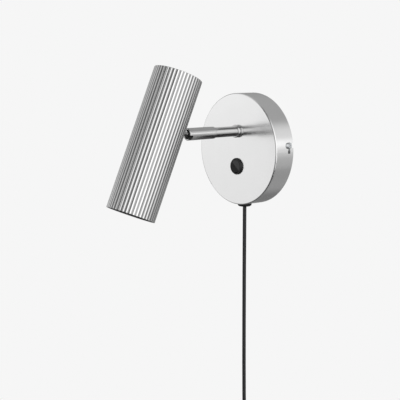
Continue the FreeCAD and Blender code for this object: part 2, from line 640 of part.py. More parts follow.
def bulb():
    """Reflector bulb: body, front glass and two stepped contact pins."""
    room = 0.2
    top = -size("strap_drop") - size("holder_height") - room
    place = shade_frame * Placement(Vector(0, 0, top - size("bulb_length")), Rotation())
    shell = turned("bulb_shell", [(0, "bulb_rim"), ("bulb_radius - 2", "bulb_rim"),
                                  ("bulb_radius - 1.4", 0), ("bulb_radius", 0),
                                  ("bulb_radius", "bulb_rim"), ("bulb_radius - 1.6", 10),
                                  ("bulb_base + 3", 26),
                                  ("bulb_base", 34), ("bulb_base", "bulb_length"), (0, "bulb_length")])
    keep(shell, "bulb_body", place)
    glass = turned("glass", [(0, 0.6), ("bulb_radius - 4", 0.8), ("bulb_radius - 2.3", 1.4),
                             ("bulb_radius - 2.1", "bulb_rim"), (0, "bulb_rim")])
    keep(glass, "bulb_glass", place)
    pins = []
    for side in (-1, 1):
        pin = turned(f"bulb_pin_{side + 1}", [
            (0, 0), ("bulb_pin", 0), ("bulb_pin", "bulb_pin_length - 3"),
            ("bulb_pin_head", "bulb_pin_length - 3"), ("bulb_pin_head", "bulb_pin_length"),
            (0, "bulb_pin_length")])
        spot = Vector(side * size("bulb_pin_spacing") / 2, 0, size("bulb_length"))
        pin.Placement = Placement(spot, Rotation())
        pins.append(pin)
    keep(group("bulb_pin_pair", pins), "bulb_pins", place)


# ------------------------------------------------------------------ switch
def rocker_switch():
    """Round rocker switch: hollow housing, tilting rocker and blade terminals."""
    depth = "switch_depth"
    housing = turned("housing", [("switch_body", f"-{depth}"), ("switch_body", 0), ("bezel_radius", 0),
                                 ("bezel_radius", "bezel_thick * 0.5"),
                                 ("bezel_radius - 0.8", "bezel_thick"),
                                 ("rocker_radius + 0.2", "bezel_thick"),
                                 ("rocker_radius + 0.2", "-switch_floor"),
                                 (0, "-switch_floor"), (0, f"-{depth}")])
    pivot = turn(rod("housing_pivot", "hub_radius + 0.03", "hub_length + 0.2",
                     "-(hub_length + 0.2) / 2"), Y_AXIS, QUARTER)
    keep(carve("housing_cut", housing, [pivot]), "switch_housing", switch_frame)
    ball = doc.addObject("Part::Sphere", "rocker_ball")
    bind(ball, Radius="rocker_radius")
    pressed = doc.addObject("Part::Box", "rocker_pressed_cut")
    raised = doc.addObject("Part::Box", "rocker_raised_cut")
    under = doc.addObject("Part::Box", "rocker_under_cut")
    across, deep = 24.0, 9.0
    for tool in (pressed, raised, under):
        bind(tool, Length=across, Width=across if tool is under else across / 2, Height=deep)
    crest = size("rocker_crest")
    pressed.Placement = Placement(Vector(-across / 2, 0, crest), Rotation())
    raised.Placement = Placement(Vector(across / 2, 0, crest),
                                 Rotation(Z_AXIS, 180) * Rotation(X_AXIS, 2 * size("rocker_rise")))
    foot = Vector(-across / 2, -across / 2, -size("rocker_under") - deep)
    under.Placement = Placement(foot, Rotation())
    hub = turn(rod("rocker_hub", "hub_radius", "hub_length", "-hub_length / 2"), Y_AXIS, QUARTER)
    rocker = join("rocker_whole", [carve("rocker_shaped", ball, [pressed, raised, under]), hub])
    keep(rocker, "switch_rocker", switch_frame)
    blades = []
    for index, side in enumerate((-1, 1)):
        place = f"{side} * blade_apart / 2"
        blade = block(f"blade_{index}", "blade_width", "blade_thick", "blade_length", 0, place,
                      "-switch_depth - blade_length")
        hole = rod(f"blade_hole_{index}", 0.8, 3, 0, f"{place} + 1.5", "-switch_depth - 4.6")
        blades.append(carve(f"blade_cut_{index}", blade, [turn(hole, X_AXIS, QUARTER)]))
    keep(group("blade_pair", blades), "switch_terminals", switch_frame)


# ------------------------------------------------------------------ wiring inside the cup
def terminal_block():
    """Three-way screw terminal on the wall plate, its six clamp screws and fixing screw."""
    centre = Vector(-34, 22, size("plate_thick"))
    place = wall_frame * Placement(centre, Rotation())
    solids = [block("terminal_base", "block_width", 15, "block_base")]
    fix_hole, between = 1.6, "pole_pitch / 2"
    tools = [rod("terminal_fix_hole", fix_hole, 14, between)]
    wire_hole, wire_up, deep = 1.7, 4.6, 3.6
    screws = []
    for index in range(3):
        across = f"{index - 1} * pole_pitch"
        solids.append(block(f"terminal_tower_{index}", "pole_width", 13, "pole_height", across))
        tools.append(turn(rod(f"terminal_wire_{index}", wire_hole, 16, across, 8, wire_up),
                          X_AXIS, QUARTER))
        for side in (-1, 1):
            name = f"{index}_{side + 1}"
            aside = f"{side} * clamp_screw_at"
            tools.append(rod(f"terminal_well_{name}", "clamp_screw + 0.15", "pole_height - 4",
                             across, aside, "block_base"))
            screw = rod(f"terminal_screw_{name}", "clamp_screw", deep)
            slot = block(f"terminal_slot_{name}", "clamp_screw * 2 + 0.3", 0.6, 1, 0, 0, deep - 0.6)
            slotted = carve(f"terminal_screw_cut_{name}", screw, [slot])
            spot = Vector(number(across), number(aside), number("block_base + 1"))
            slotted.Placement = Placement(spot, Rotation())
            screws.append(slotted)
    keep(carve("terminal", join("terminal_solid", solids), tools), "terminal_block", place)
    keep(group("terminal_screw_set", screws), "terminal_screws", place)


def earth_point():
    """Earth screw with its serrated washer on the wall plate."""
    spot = Vector(size("earth_across"), size("earth_up"), size("plate_thick"))
    above = Vector(0, 0, 1)
    head, head_height, length = 3.8, 2.6, 2.4
    screw = pan_screw("earth", "earth_thread", length, head, head_height, "cross")
    keep(screw, "earth_screw", wall_frame * Placement(spot + above, Rotation()))
    washer = carve("earth_washer_cut", rod("earth_washer_disc", head + 0.6, "earth_washer"),
                   [rod("earth_washer_bore", "earth_thread + fit_room", "earth_washer")])
    keep(washer, "earth_washer", wall_frame * Placement(spot, Rotation()))


def cord_entry():
    """Domed strain relief below the cup, its nut, and the clamp that grips the cord inside."""
    stem, step = "-11", 0.4
    gland = turned("gland", [("cord_radius + fit_room", stem), ("gland_stem", stem),
                             ("gland_stem", step), ("gland_radius", step),
                             ("gland_radius", "gland_height * 0.35"),
                             ("gland_radius * 0.94", "gland_height * 0.66"),
                             ("gland_radius * 0.8", "gland_height * 0.9"),
                             ("gland_radius * 0.6", "gland_height"),
                             ("cord_radius + fit_room", "gland_height")])
    keep(gland, "cord_gland", gland_frame)
    flats, height, inside = 15.0, 4.0, 2.2
    nut = carve("gland_nut_cut", hexagon("gland_nut_hex", flats, height),
                [rod("gland_nut_bore", "gland_stem", height)])
    nut_at = Vector(0, 0, -height - inside)
    keep(nut, "gland_nut", gland_frame * Placement(nut_at, Rotation()))
    place = wall_frame * Placement(Vector(0, -49, size("plate_thick")), Rotation())
    post = "cord_out - plate_thick - cord_radius"
    under = "cord_out - plate_thick + cord_radius - grip"
    base = block("clamp_post", "clamp_width", "clamp_tall", post)
    bar = block("clamp_bar_plain", "clamp_width", "clamp_tall", "bar_thick", 0, 0, under)
    groove = rod("clamp_groove", "cord_radius", "clamp_tall + 2", 0, "clamp_tall / 2 + 1",
                 "cord_out - plate_thick")
    threads = []
    holes = [turn(groove, X_AXIS, QUARTER)]
    deep = 4.0
    for side in (-1, 1):
        across = f"{side} * bar_screw_at"
        threads.append(rod(f"clamp_thread_{side + 1}", "bar_screw", deep, across, 0,
                           f"{post} - {deep}"))
        holes.append(rod(f"clamp_hole_{side + 1}", "bar_screw + fit_room", deep, across, 0, under))
    keep(carve("clamp_post_cut", base, threads), "clamp_base", place)
    keep(carve("clamp_bar_cut", bar, holes), "clamp_bar", place)
    screws = []
    head, head_height = 2.8, 1.8
    for side in (-1, 1):
        screw = pan_screw(f"clamp_screw_{side + 1}", "bar_screw", "bar_screw_length", head,
                          head_height, "cross")
        spot = Vector(side * size("bar_screw_at"), 0, number(f"{under} + bar_thick"))
        screw.Placement = Placement(spot, Rotation())
        screws.append(screw)
    keep(group("clamp_screw_pair", screws), "clamp_screws", place)


def bent_tube(name, points, radius):
    """A round tube along straight runs joined by tangent arcs; prints its bend radii."""
    edges = []
    radii = []
    start = points[0]
    for before, corner, after in zip(points, points[1:], points[2:]):
        arriving = (corner - before).normalize()
        leaving = (after - corner).normalize()
        half_turn = arriving.getAngle(leaving) / 2
        run = min((corner - before).Length, (after - corner).Length)
        reach = 0.45 * run
        radii.append(reach / math.tan(half_turn))
        first = corner - arriving * reach
        second = corner + leaving * reach
        inward = (leaving - arriving).normalize()
        bulge = radii[-1] / math.cos(half_turn) - radii[-1]
        edges.append(Part.LineSegment(start, first).toShape())
        edges.append(Part.Arc(first, corner + inward * bulge, second).toShape())
        start = second
    edges.append(Part.LineSegment(start, points[-1]).toShape())
    path = Part.Wire(edges)
    report_tube(name, path, radius, radii)
    return pipe(path, points[0], points[1] - points[0], radius)


def pipe(path, start, way, radius):
    """The tube of the given radius along a smooth wire."""
    section = Part.Wire([Part.Circle(start, way, radius).toShape()])
    return path.makePipeShell([section], True, False)


def report_tube(name, path, radius, radii):
    """Print a tube's length and bends, so that its volume can be compared."""
    tightest = min(radii) if radii else 0.0
    print(f"{name}: length {path.Length:.1f} mm, tightest bend {tightest:.1f} mm, "
          f"section times length {math.pi * radius ** 2 * path.Length:.0f} mm3")


def inner_wiring():
    """The cord's end inside the cup, and the insulated wires to switch, arm and lampholder."""
    out = size("cord_out")
    route = [Vector(0, -out, -66), Vector(0, -out, -36), Vector(-14, -out + 1, -24),
             Vector(-30, -out + 2, -8), Vector(-34, -out + 4, 6)]
    lead = bent_tube("inner lead", route, size("cord_radius"))
    feature = doc.addObject("Part::Feature", "inner_lead_tube")
    feature.Shape = lead
    keep(feature, "inner_lead", Placement())
    face = -size("cup_depth")
    height = size("arm_height")
    wires = []
    arm_wire, arm_aside, lamp_wire, lamp_aside = 0.9, 1.2, 0.75, 0.82
    for side in (-1, 1):
        across = side * arm_aside
        start = Vector(across, face + number("root_length + 0.6"), height)
        end = Vector(across, face - number("shoulder_at + 8"), height)
        wires.append(Part.makeCylinder(arm_wire, (end - start).Length, start, end - start))
    feature = doc.addObject("Part::Feature", "arm_wire_pair")
    feature.Shape = Part.makeCompound(wires)
    keep(feature, "arm_wires", Placement())
    wires = []
    for side in (-1, 1):
        across = side * lamp_aside
        start = Vector(across, number("shade_bore - 3"), 0)
        route = [start, start + Vector(0, -3.6, 0), start + Vector(side * 0.8, -7.8, 0.6),
                 start + Vector(side * 2.4, -11.2, -1), start + Vector(side * 4.6, -13, -5),
                 start + Vector(side * 6.6, -14, -9.4), start + Vector(side * 7.2, -14.4, -13.4)]
        wires.append(bent_tube("lamp wire", route, lamp_wire))
    feature = doc.addObject("Part::Feature", "lamp_wire_pair")
    feature.Shape = Part.makeCompound(wires)
    keep(feature, "lamp_wires", shade_frame)


# ------------------------------------------------------------------ cord, coil, tie and plug
COIL_LAYERS = 4


def cord_points():
    """The free stretch: straight down from the strain relief, then over to the coil's side."""
    out = -size("cord_out")
    side, entry = coil_entry()
    low = entry.z
    return [Vector(0, out, -size("cup_radius") - size("gland_height") + 1.0),
            Vector(0, out, -322.0), Vector(9, out - 3, low + 58), Vector(side - 3, entry.y - 1.5, low + 34),
            Vector(side, entry.y, low + 12), entry]


def coil_centre():
    """Centre of the coil, behind the view's lower edge, flat along the wall."""
    return Vector(0, -size("cord_out"), -412.0)


def coil_radius(quarter):
    """Radius of the spiral at a count of quarter turns along one layer."""
    return size("coil_inner") + size("coil_pitch") * quarter / 4.0


def coil_entry():
    """Side distance and point where the cord reaches the coil's outer turn."""
    quarters = int(size("coil_turns") * 4)
    side = coil_radius(quarters)
    centre = coil_centre()
    front = centre.y + size("coil_pitch") * (COIL_LAYERS - 1) / 2
    return side, Vector(side, front, centre.z + size("cord_radius") * 2)


def coil_spots():
    """Quarter-turn points of the coil, spiralling in and out, one layer at a time."""
    quarters = int(size("coil_turns") * 4)
    centre = coil_centre()
    spots = []
    angle = 0
    for layer in range(COIL_LAYERS):
        inward = layer % 2 == 0
        for step in range(quarters + 1):
            if layer and step == 0:
                continue
            turns_out = quarters - step if inward else step
            climb = layer_height(layer, step, quarters)
            radius = coil_radius(turns_out)
            spots.append((radius, angle, climb))
            angle += 1
    points = []
    for radius, quarter, climb in spots:
        turn_by = -quarter * math.pi / 2
        points.append(Vector(centre.x + radius * math.cos(turn_by), centre.y + climb,
                             centre.z + radius * math.sin(turn_by)))
    return points


def layer_height(layer, step, quarters):
    """Distance of a coil point from the coil's middle plane, climbing where the spiral turns."""
    pitch = size("coil_pitch")
    top = pitch * (COIL_LAYERS - 1) / 2
    level = top - pitch * layer
    climb_steps = 2
    if layer < COIL_LAYERS - 1 and step > quarters - climb_steps / 2:
        level -= pitch * (step - quarters + climb_steps / 2) / climb_steps
    if layer and step < climb_steps / 2:
        level += pitch * (climb_steps / 2 - step) / climb_steps
    return level


def biarc(start, start_way, end, end_way):
    """Two tangent arcs from one point and direction to the next."""
    gap = end - start
    ways = start_way + end_way
    square = 2 * (1 - start_way.dot(end_way))
    along = gap.dot(ways)
    if abs(square) < 1e-9:
        reach = gap.Length ** 2 / (2 * along)
    else:
        reach = (-along + math.sqrt(along ** 2 + square * gap.Length ** 2)) / square
    first_corner = start + start_way * reach
    last_corner = end - end_way * reach
    middle = (first_corner + last_corner) * 0.5
    return [tangent_arc(start, start_way, middle), tangent_arc(end, end_way * -1, middle, True)]


def tangent_arc(start, way, end, backwards=False):
    """The arc that leaves start along way and ends at end."""
    chord = end - start
    normal = way.cross(chord)
    if normal.Length < 1e-6:
        line = Part.LineSegment(end, start) if backwards else Part.LineSegment(start, end)
        return line.toShape()
    inward = normal.cross(way).normalize()
    radius = chord.Length ** 2 / (2 * chord.dot(inward))
    centre = start + inward * radius
    halfway = (start + end) * 0.5
    middle = centre + (halfway - centre).normalize() * radius
    if backwards:
        return Part.Arc(end, middle, start).toShape()
    return Part.Arc(start, middle, end).toShape()


def plug_route():
    """Straight end of the cord below the coil, from its last turn down into the plug."""
    last = coil_spots()[-1]
    return last, Vector(last.x, last.y, last.z - 30.0)


def cord_coil():
    """The put-away length: one unbroken tube wound in and out in four layers."""
    points = coil_spots()
    entry = coil_entry()[1]
    downwards = Vector(0, 0, -1)
    ways = [downwards]
    for before, spot, after in zip(points, points[1:], points[2:]):
        near = (spot - before).Length
        far = (after - spot).Length
        ways.append(((spot - before) * (far / near) + (after - spot) * (near / far)).normalize())
    ways.append(downwards)
    edges = [Part.LineSegment(entry, points[0]).toShape()]
    for index in range(len(points) - 1):
        edges += biarc(points[index], ways[index], points[index + 1], ways[index + 1])
    last, plug_end = plug_route()
    edges.append(Part.LineSegment(last, plug_end).toShape())
    path = Part.Wire(edges)
    radius = size("cord_radius")
    report_tube("coil", path, radius, [])
    print(f"coil: least gap between turns {least_gap(path, radius):.2f} mm")
    feature = doc.addObject("Part::Feature", "coil_tube")
    feature.Shape = pipe(path, entry, downwards, radius)
    keep(feature, "cord_coil", Placement())
    print(f"coil: volume {feature.Shape.Volume:.0f} mm3")


def least_gap(path, radius):
    """Least distance between the tube's own turns, measured on points along its centre line."""
    spacing = 1.5
    count = int(path.Length / spacing)
    points = path.discretize(Number=count)
    apart = int(radius * 6 / spacing) + 1
    least = 1e9
    for index in range(0, count):
        for other in range(index + apart, count):
            least = min(least, (points[index] - points[other]).Length)
    return least - 2 * radius


def cord_run():
    """The cord's free stretch from the strain relief to the coil."""
    radius = size("cord_radius")
    tube = bent_tube("cord", cord_points(), radius)
    feature = doc.addObject("Part::Feature", "cord_tube")
    feature.Shape = tube
    keep(feature, "cord", Placement())
    print(f"cord: volume {tube.Volume:.0f} mm3")


def cord_tie():
    """Flexible tie round the coil's bundle, beside where the cord comes down."""
    centre = coil_centre()
    pitch = size("coil_pitch")
    radius = size("cord_radius")
    middle = size("coil_inner") + pitch * size("coil_turns") / 2
    deep = pitch * (COIL_LAYERS - 1) + 2 * radius
    wide = pitch * size("coil_turns") + 2 * radius + 1.2
    thick, room, width = size("tie_thick"), size("tie_room"), size("tie_width")
    outer = block("tie_outer", width, wide + room + 2 * thick, deep + 2 * (room + thick))
    inner = block("tie_inner", width, wide + room, deep + 2 * room, 0, 0, thick)
    head = block("tie_head", 5, 5, 3, 0, f"{wide} / 2 - 2", deep + 2 * room + thick + 0.8)
    way = Rotation(Z_AXIS, 12)
    place = wall_frame * Placement(Vector(0, centre.z, -centre.y - deep / 2 - thick - room), way)
    place = place * Placement(Vector(0, middle, 0), Rotation())
    keep(join("tie", [carve("tie_cut", outer, [inner]), head]), "cord_tie", place)


def plug():
    """Flat two-pin moulded plug that hangs on the cord's end."""
    end = plug_route()[1]
    frame = Placement(end, UPSIDE_DOWN)
    neck = turned("plug_neck", [(0, 0), ("cord_radius + 1.2", 0), ("cord_radius + 2.6", 12),
                                (0, 12)])
    half_thick = size("plug_thick") / 2
    grip_at = size("plug_neck_length")
    face = grip_at + size("plug_length")
    start = Part.Wire([Part.Ellipse(Vector(0, 0, grip_at), 7.5, 5.2).toShape()])
    shoulder = stadium(size("plug_width") * 0.4, half_thick * 0.94, grip_at + 12)
    front = stadium(size("plug_width") / 2, half_thick, face)
    solid = Part.makeLoft([start, shoulder, front], True, True)
    body = doc.addObject("Part::Feature", "plug_grip")
    body.Shape = solid
    keep(join("plug_whole", [neck, body]), "plug_body", frame)
    pins = []
    for side in (-1, 1):
        pin = turned(f"plug_pin_{side + 1}", [(0, 0), ("plug_pin_radius", 0),
                                              ("plug_pin_radius", "plug_pin_length - 1.2"),
                                              ("plug_pin_radius - 0.8", "plug_pin_length"),
                                              (0, "plug_pin_length")])
        spot = Vector(side * size("plug_pin_spacing") / 2, 0, face)
        pin.Placement = Placement(spot, Rotation())
        pins.append(pin)
    keep(group("plug_pin_pair", pins), "plug_pins", frame)


def stadium(half_width, half_thick, along):
    """Closed outline with two straight sides and two round ends."""
    flat = half_width - half_thick
    lines = [Part.LineSegment(Vector(-flat, -half_thick, along), Vector(flat, -half_thick, along)),
             Part.Arc(Vector(flat, -half_thick, along), Vector(half_width, 0, along),
                      Vector(flat, half_thick, along)),
             Part.LineSegment(Vector(flat, half_thick, along), Vector(-flat, half_thick, along)),
             Part.Arc(Vector(-flat, half_thick, along), Vector(-half_width, 0, along),
                      Vector(-flat, -half_thick, along))]
    return Part.Wire([line.toShape() for line in lines])


# ------------------------------------------------------------------ build, test and write
for build in (wall_plate, canopy_cup, cup_lock_screws, arm_collar, arm_tube, arm_fixings,
              swivel_socket, swivel_bolt, ball_parts, neck_parts, shade_tube, shade_trim,
              lamp_strap, lampholder, bulb, rocker_switch, terminal_block, earth_point,
              cord_entry, inner_wiring, cord_run, cord_coil, cord_tie, plug):
    build()
doc.recompute()

for obj in doc.Objects:
    faults = [state for state in obj.State if state in ("Invalid", "Error")]
    if faults:
        raise RuntimeError(f"{obj.Name} failed: {faults}")
for node in nodes:
    if node.Shape.isNull() or not node.Shape.isValid():
        raise RuntimeError(f"{node.Label} has no valid shape")
    if not node.Shape.Solids:
        raise RuntimeError(f"{node.Label} has no solid")
for node in nodes:
    node.Shape.exportStep(f"parts/{node.Label}.step")
    print(f"{node.Label}: {len(node.Shape.Solids)} solid, {node.Shape.Volume:.0f} mm3")
print(f"{len(nodes)} nodes written")
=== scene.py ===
"""Tube wall light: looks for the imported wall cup, arm, ball swivel, fluted shade, cord and plug.

Metres, in the part's own frame: the wall lies on y = 0, the lamp stands out towards -Y, +Z is up.
"""

import logging
import math
from dataclasses import dataclass
from enum import Enum
from typing import Any, Iterable

import bmesh
import bpy
from mathutils import Matrix, Vector


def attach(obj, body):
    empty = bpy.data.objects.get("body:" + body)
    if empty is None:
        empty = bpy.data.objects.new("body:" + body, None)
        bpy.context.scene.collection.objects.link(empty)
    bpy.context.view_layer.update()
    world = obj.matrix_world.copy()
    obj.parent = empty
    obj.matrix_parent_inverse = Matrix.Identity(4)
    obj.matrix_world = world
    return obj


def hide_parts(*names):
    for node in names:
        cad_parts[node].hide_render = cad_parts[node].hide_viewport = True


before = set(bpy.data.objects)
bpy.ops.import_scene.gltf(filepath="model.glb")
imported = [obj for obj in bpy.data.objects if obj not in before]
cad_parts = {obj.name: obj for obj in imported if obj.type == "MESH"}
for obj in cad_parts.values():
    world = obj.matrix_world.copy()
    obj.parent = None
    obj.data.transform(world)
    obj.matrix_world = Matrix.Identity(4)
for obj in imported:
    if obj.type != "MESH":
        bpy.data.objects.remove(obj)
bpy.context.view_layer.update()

log = logging.getLogger("tube_wall_light")
MM = 0.001
Colour = tuple[float, float, float, float]
Point = tuple[float, float, float]


# --------------------------------------------------------------------------- colour and nodes
def linear(code: str) -> Colour:
    """Turn an sRGB hex colour into linear light.

    Args:
        code: six hex digits, such as "C8C8C6".

    Returns:
        Red, green, blue and an alpha of one.
    """
    parts = []
    for start in (0, 2, 4):
        value = int(code[start:start + 2], 16) / 255.0
        parts.append(value / 12.92 if value <= 0.04045 else ((value + 0.055) / 1.055) ** 2.4)
    return (parts[0], parts[1], parts[2], 1.0)


def add_node(tree: bpy.types.NodeTree, kind: str,
             links: dict[Any, bpy.types.NodeSocket] | None = None,
             values: dict[Any, Any] | None = None, **settings: Any) -> bpy.types.Node:
    """Add one node with its settings, socket values and incoming links.

    Args:
        tree: the tree that gets the node.
        kind: the node's type name.
        links: input socket name or index to the output socket that feeds it.
        values: input socket name or index to its unlinked value.
        settings: attributes of the node itself.

    Returns:
        The new node.
    """
    node = tree.nodes.new(kind)
    for name, value in settings.items():
        setattr(node, name, value)
    for key, value in (values or {}).items():
        node.inputs[key].default_value = value
    for key, source in (links or {}).items():
        tree.links.new(source, node.inputs[key])
    return node


def mix_colours(tree: bpy.types.NodeTree, factor: bpy.types.NodeSocket,
                first: Colour | bpy.types.NodeSocket, second: Colour) -> bpy.types.NodeSocket:
    """Blend two colours.

    Args:
        tree: the tree that gets the node.
        factor: the share of the second colour.
        first: a colour, or the socket that carries one.
        second: the colour at a factor of one.

    Returns:
        The socket with the blended colour.
    """
    node = add_node(tree, "ShaderNodeMix", data_type="RGBA")
    tree.links.new(factor, node.inputs[0])
    if isinstance(first, bpy.types.NodeSocket):
        tree.links.new(first, node.inputs[6])
    else:
        node.inputs[6].default_value = first
    node.inputs[7].default_value = second
    return node.outputs[2]


def empty_material(name: str) -> tuple[bpy.types.Material, bpy.types.NodeTree]:
    """Start a material whose tree holds no node yet.

    Args:
        name: the material's name, for what it is really made of.

    Returns:
        The material and its node tree.
    """
    material = bpy.data.materials.new(name)
    material.use_nodes = True
    material.node_tree.nodes.clear()
    return material, material.node_tree


def spread_of(tree: bpy.types.NodeTree, noise: bpy.types.NodeSocket, middle: float, below: float,
              above: float) -> bpy.types.NodeSocket:
    """Turn a noise's usual swing into a number that wanders about a middle value.

    Args:
        tree: the tree that gets the node.
        noise: the noise, which seldom leaves 0.3 to 0.7.
        middle: the value that the number wanders about.
        below: how far it falls.
        above: how far it rises.

    Returns:
        The socket with the number.
    """
    node = add_node(tree, "ShaderNodeMapRange", {"Value": noise},
                    {"From Min": 0.3, "From Max": 0.7, "To Min": middle - below,
                     "To Max": middle + above})
    return node.outputs["Result"]


# --------------------------------------------------------------------------- the shade's place
REST_TILT = math.radians(22.1)
REST_TURN = math.radians(2.9)
SHADE_WAY = Vector((math.sin(REST_TURN) * math.cos(REST_TILT), math.sin(REST_TILT),
                    math.cos(REST_TURN) * math.cos(REST_TILT)))
SHADE_POINT = Vector((0.82038, -137.73338, 37.19450)) * MM
SHADE_ACROSS = Vector((math.cos(REST_TURN), 0.0, -math.sin(REST_TURN)))


def shade_place() -> Matrix:
    """The shade's own frame: X along the tilt axis, Y back towards the neck, Z up the tube.

    Returns:
        The turn and shift from that frame to the part's own.
    """
    towards = SHADE_WAY.cross(SHADE_ACROSS)
    turn = Matrix((SHADE_ACROSS, towards, SHADE_WAY)).transposed().to_4x4()
    return Matrix.Translation(SHADE_POINT) @ turn


class Grain(Enum):
    """Which way fine polishing lines run: the noise's turn, then its stretch in X, Y and Z."""

    NONE = ((0.0, 0.0, 0.0), (1.0, 1.0, 1.0))
    ALONG_SHADE = ((REST_TILT, -REST_TURN, 0.0), (1.0, 1.0, 0.03))
    ALONG_ARM = ((0.0, 0.0, 0.0), (1.0, 0.03, 1.0))


@dataclass(frozen=True)
class Metal:
    """A bare or plated metal: polish lines, faint cloudiness and handling marks."""

    name: str
    colour: str
    worn: str
    roughness: float
    spread: float
    line_mm: float = 0.35
    bump_mm: float = 0.004
    cloud_mm: float = 22.0
    grain: Grain = Grain.NONE

    def build(self) -> bpy.types.Material:
        """Make the node material.

        Returns:
            The finished material.
        """
        material, tree = empty_material(self.name)
        place = add_node(tree, "ShaderNodeTexCoord")
        turn, stretch = self.grain.value
        turned = add_node(tree, "ShaderNodeMapping", {"Vector": place.outputs["Object"]},
                          {"Rotation": turn})
        drawn = add_node(tree, "ShaderNodeMapping", {"Vector": turned.outputs["Vector"]},
                         {"Scale": stretch})
        lines = add_node(tree, "ShaderNodeTexNoise", {"Vector": drawn.outputs["Vector"]},
                         {"Scale": 1.0 / (self.line_mm * MM), "Detail": 3.0, "Roughness": 0.6})
        clouds = add_node(tree, "ShaderNodeTexNoise", {"Vector": place.outputs["Object"]},
                          {"Scale": 1.0 / (self.cloud_mm * MM), "Detail": 2.0, "Roughness": 0.5})
        tint = mix_colours(tree, clouds.outputs["Fac"], linear(self.colour), linear(self.worn))
        rough = spread_of(tree, lines.outputs["Fac"], self.roughness, self.spread, self.spread)
        bump = add_node(tree, "ShaderNodeBump", {"Height": lines.outputs["Fac"]},
                        {"Strength": 0.35, "Distance": self.bump_mm * MM})
        shader = add_node(tree, "ShaderNodeBsdfPrincipled",
                          {"Base Color": tint, "Roughness": rough,
                           "Normal": bump.outputs["Normal"]},
                          {"Metallic": 1.0})
        add_node(tree, "ShaderNodeOutputMaterial", {"Surface": shader.outputs["BSDF"]})
        return material


@dataclass(frozen=True)
class Fluted:
    """Extruded flutes with faint lines along them: crests in the metal's colour, grooves darkened
    by painted shade.
    """

    name: str
    # crest is the metal's own colour; groove is painted shade for the hollows between the crests.
    crest: str
    groove: str
    roughness: float
    crest_radius_mm: float = 27.5
    groove_radius_mm: float = 27.0
    line_mm: float = 0.6
    spread: float = 0.04

    def build(self) -> bpy.types.Material:
        """Make the node material.

        Returns:
            The finished material.
        """
        material, tree = empty_material(self.name)
        place = add_node(tree, "ShaderNodeTexCoord")
        away = add_node(tree, "ShaderNodeVectorMath", {0: place.outputs["Object"]},
                        {1: SHADE_POINT}, operation="SUBTRACT")
        along = add_node(tree, "ShaderNodeVectorMath", {0: away.outputs["Vector"]},
                         {1: SHADE_WAY}, operation="DOT_PRODUCT")
        foot = add_node(tree, "ShaderNodeVectorMath", {"Scale": along.outputs["Value"]},
                        {0: SHADE_WAY}, operation="SCALE")
        depth = add_node(tree, "ShaderNodeVectorMath",
                         {0: away.outputs["Vector"], 1: foot.outputs["Vector"]},
                         operation="DISTANCE")
        # Painted shade mask: nought at the groove radius, one at the crest radius.
        groove_shade_mask = add_node(tree, "ShaderNodeMapRange", {"Value": depth.outputs["Value"]},
                          {"From Min": self.groove_radius_mm * MM,
                           "From Max": self.crest_radius_mm * MM},
                          interpolation_type="SMOOTHSTEP")
        turn, stretch = Grain.ALONG_SHADE.value
        turned = add_node(tree, "ShaderNodeMapping", {"Vector": place.outputs["Object"]},
                          {"Rotation": turn})
        drawn = add_node(tree, "ShaderNodeMapping", {"Vector": turned.outputs["Vector"]},
                         {"Scale": stretch})
        lines = add_node(tree, "ShaderNodeTexNoise", {"Vector": drawn.outputs["Vector"]},
                         {"Scale": 1.0 / (self.line_mm * MM), "Detail": 2.0})
        # Painted shade: the groove colour darkens the hollows, the crest colour is the metal's own.
        tint = mix_colours(tree, groove_shade_mask.outputs["Result"], linear(self.groove), linear(self.crest))
        rough = spread_of(tree, lines.outputs["Fac"], self.roughness, self.spread, self.spread)
        shader = add_node(tree, "ShaderNodeBsdfPrincipled",
                          {"Base Color": tint, "Roughness": rough}, {"Metallic": 1.0})
        add_node(tree, "ShaderNodeOutputMaterial", {"Surface": shader.outputs["BSDF"]})
        return material


@dataclass(frozen=True)
class Moulded:
    """A moulded, glazed or painted surface with a fine texture of its own."""

    name: str
    colour: str
    second: str
    roughness: float
    texture_mm: float = 0.5
    bump_mm: float = 0.02
    cloud_mm: float = 9.0
    coat: float = 0.0
    ior: float = 1.5

    def build(self) -> bpy.types.Material:
        """Make the node material.

        Returns:
            The finished material.
        """
        material, tree = empty_material(self.name)
        place = add_node(tree, "ShaderNodeTexCoord")
        cells = add_node(tree, "ShaderNodeTexNoise", {"Vector": place.outputs["Object"]},
                         {"Scale": 1.0 / (self.texture_mm * MM), "Detail": 4.0, "Roughness": 0.65})
        patches = add_node(tree, "ShaderNodeTexNoise", {"Vector": place.outputs["Object"]},
                           {"Scale": 1.0 / (self.cloud_mm * MM), "Detail": 2.0})
        tint = mix_colours(tree, patches.outputs["Fac"], linear(self.colour), linear(self.second))
        rough = spread_of(tree, cells.outputs["Fac"], self.roughness, 0.05, 0.06)
        bump = add_node(tree, "ShaderNodeBump", {"Height": cells.outputs["Fac"]},
                        {"Strength": 0.5, "Distance": self.bump_mm * MM})
        shader = add_node(tree, "ShaderNodeBsdfPrincipled",
                          {"Base Color": tint, "Roughness": rough,
                           "Normal": bump.outputs["Normal"]},
                          {"Coat Weight": self.coat, "IOR": self.ior})
        add_node(tree, "ShaderNodeOutputMaterial", {"Surface": shader.outputs["BSDF"]})
        return material


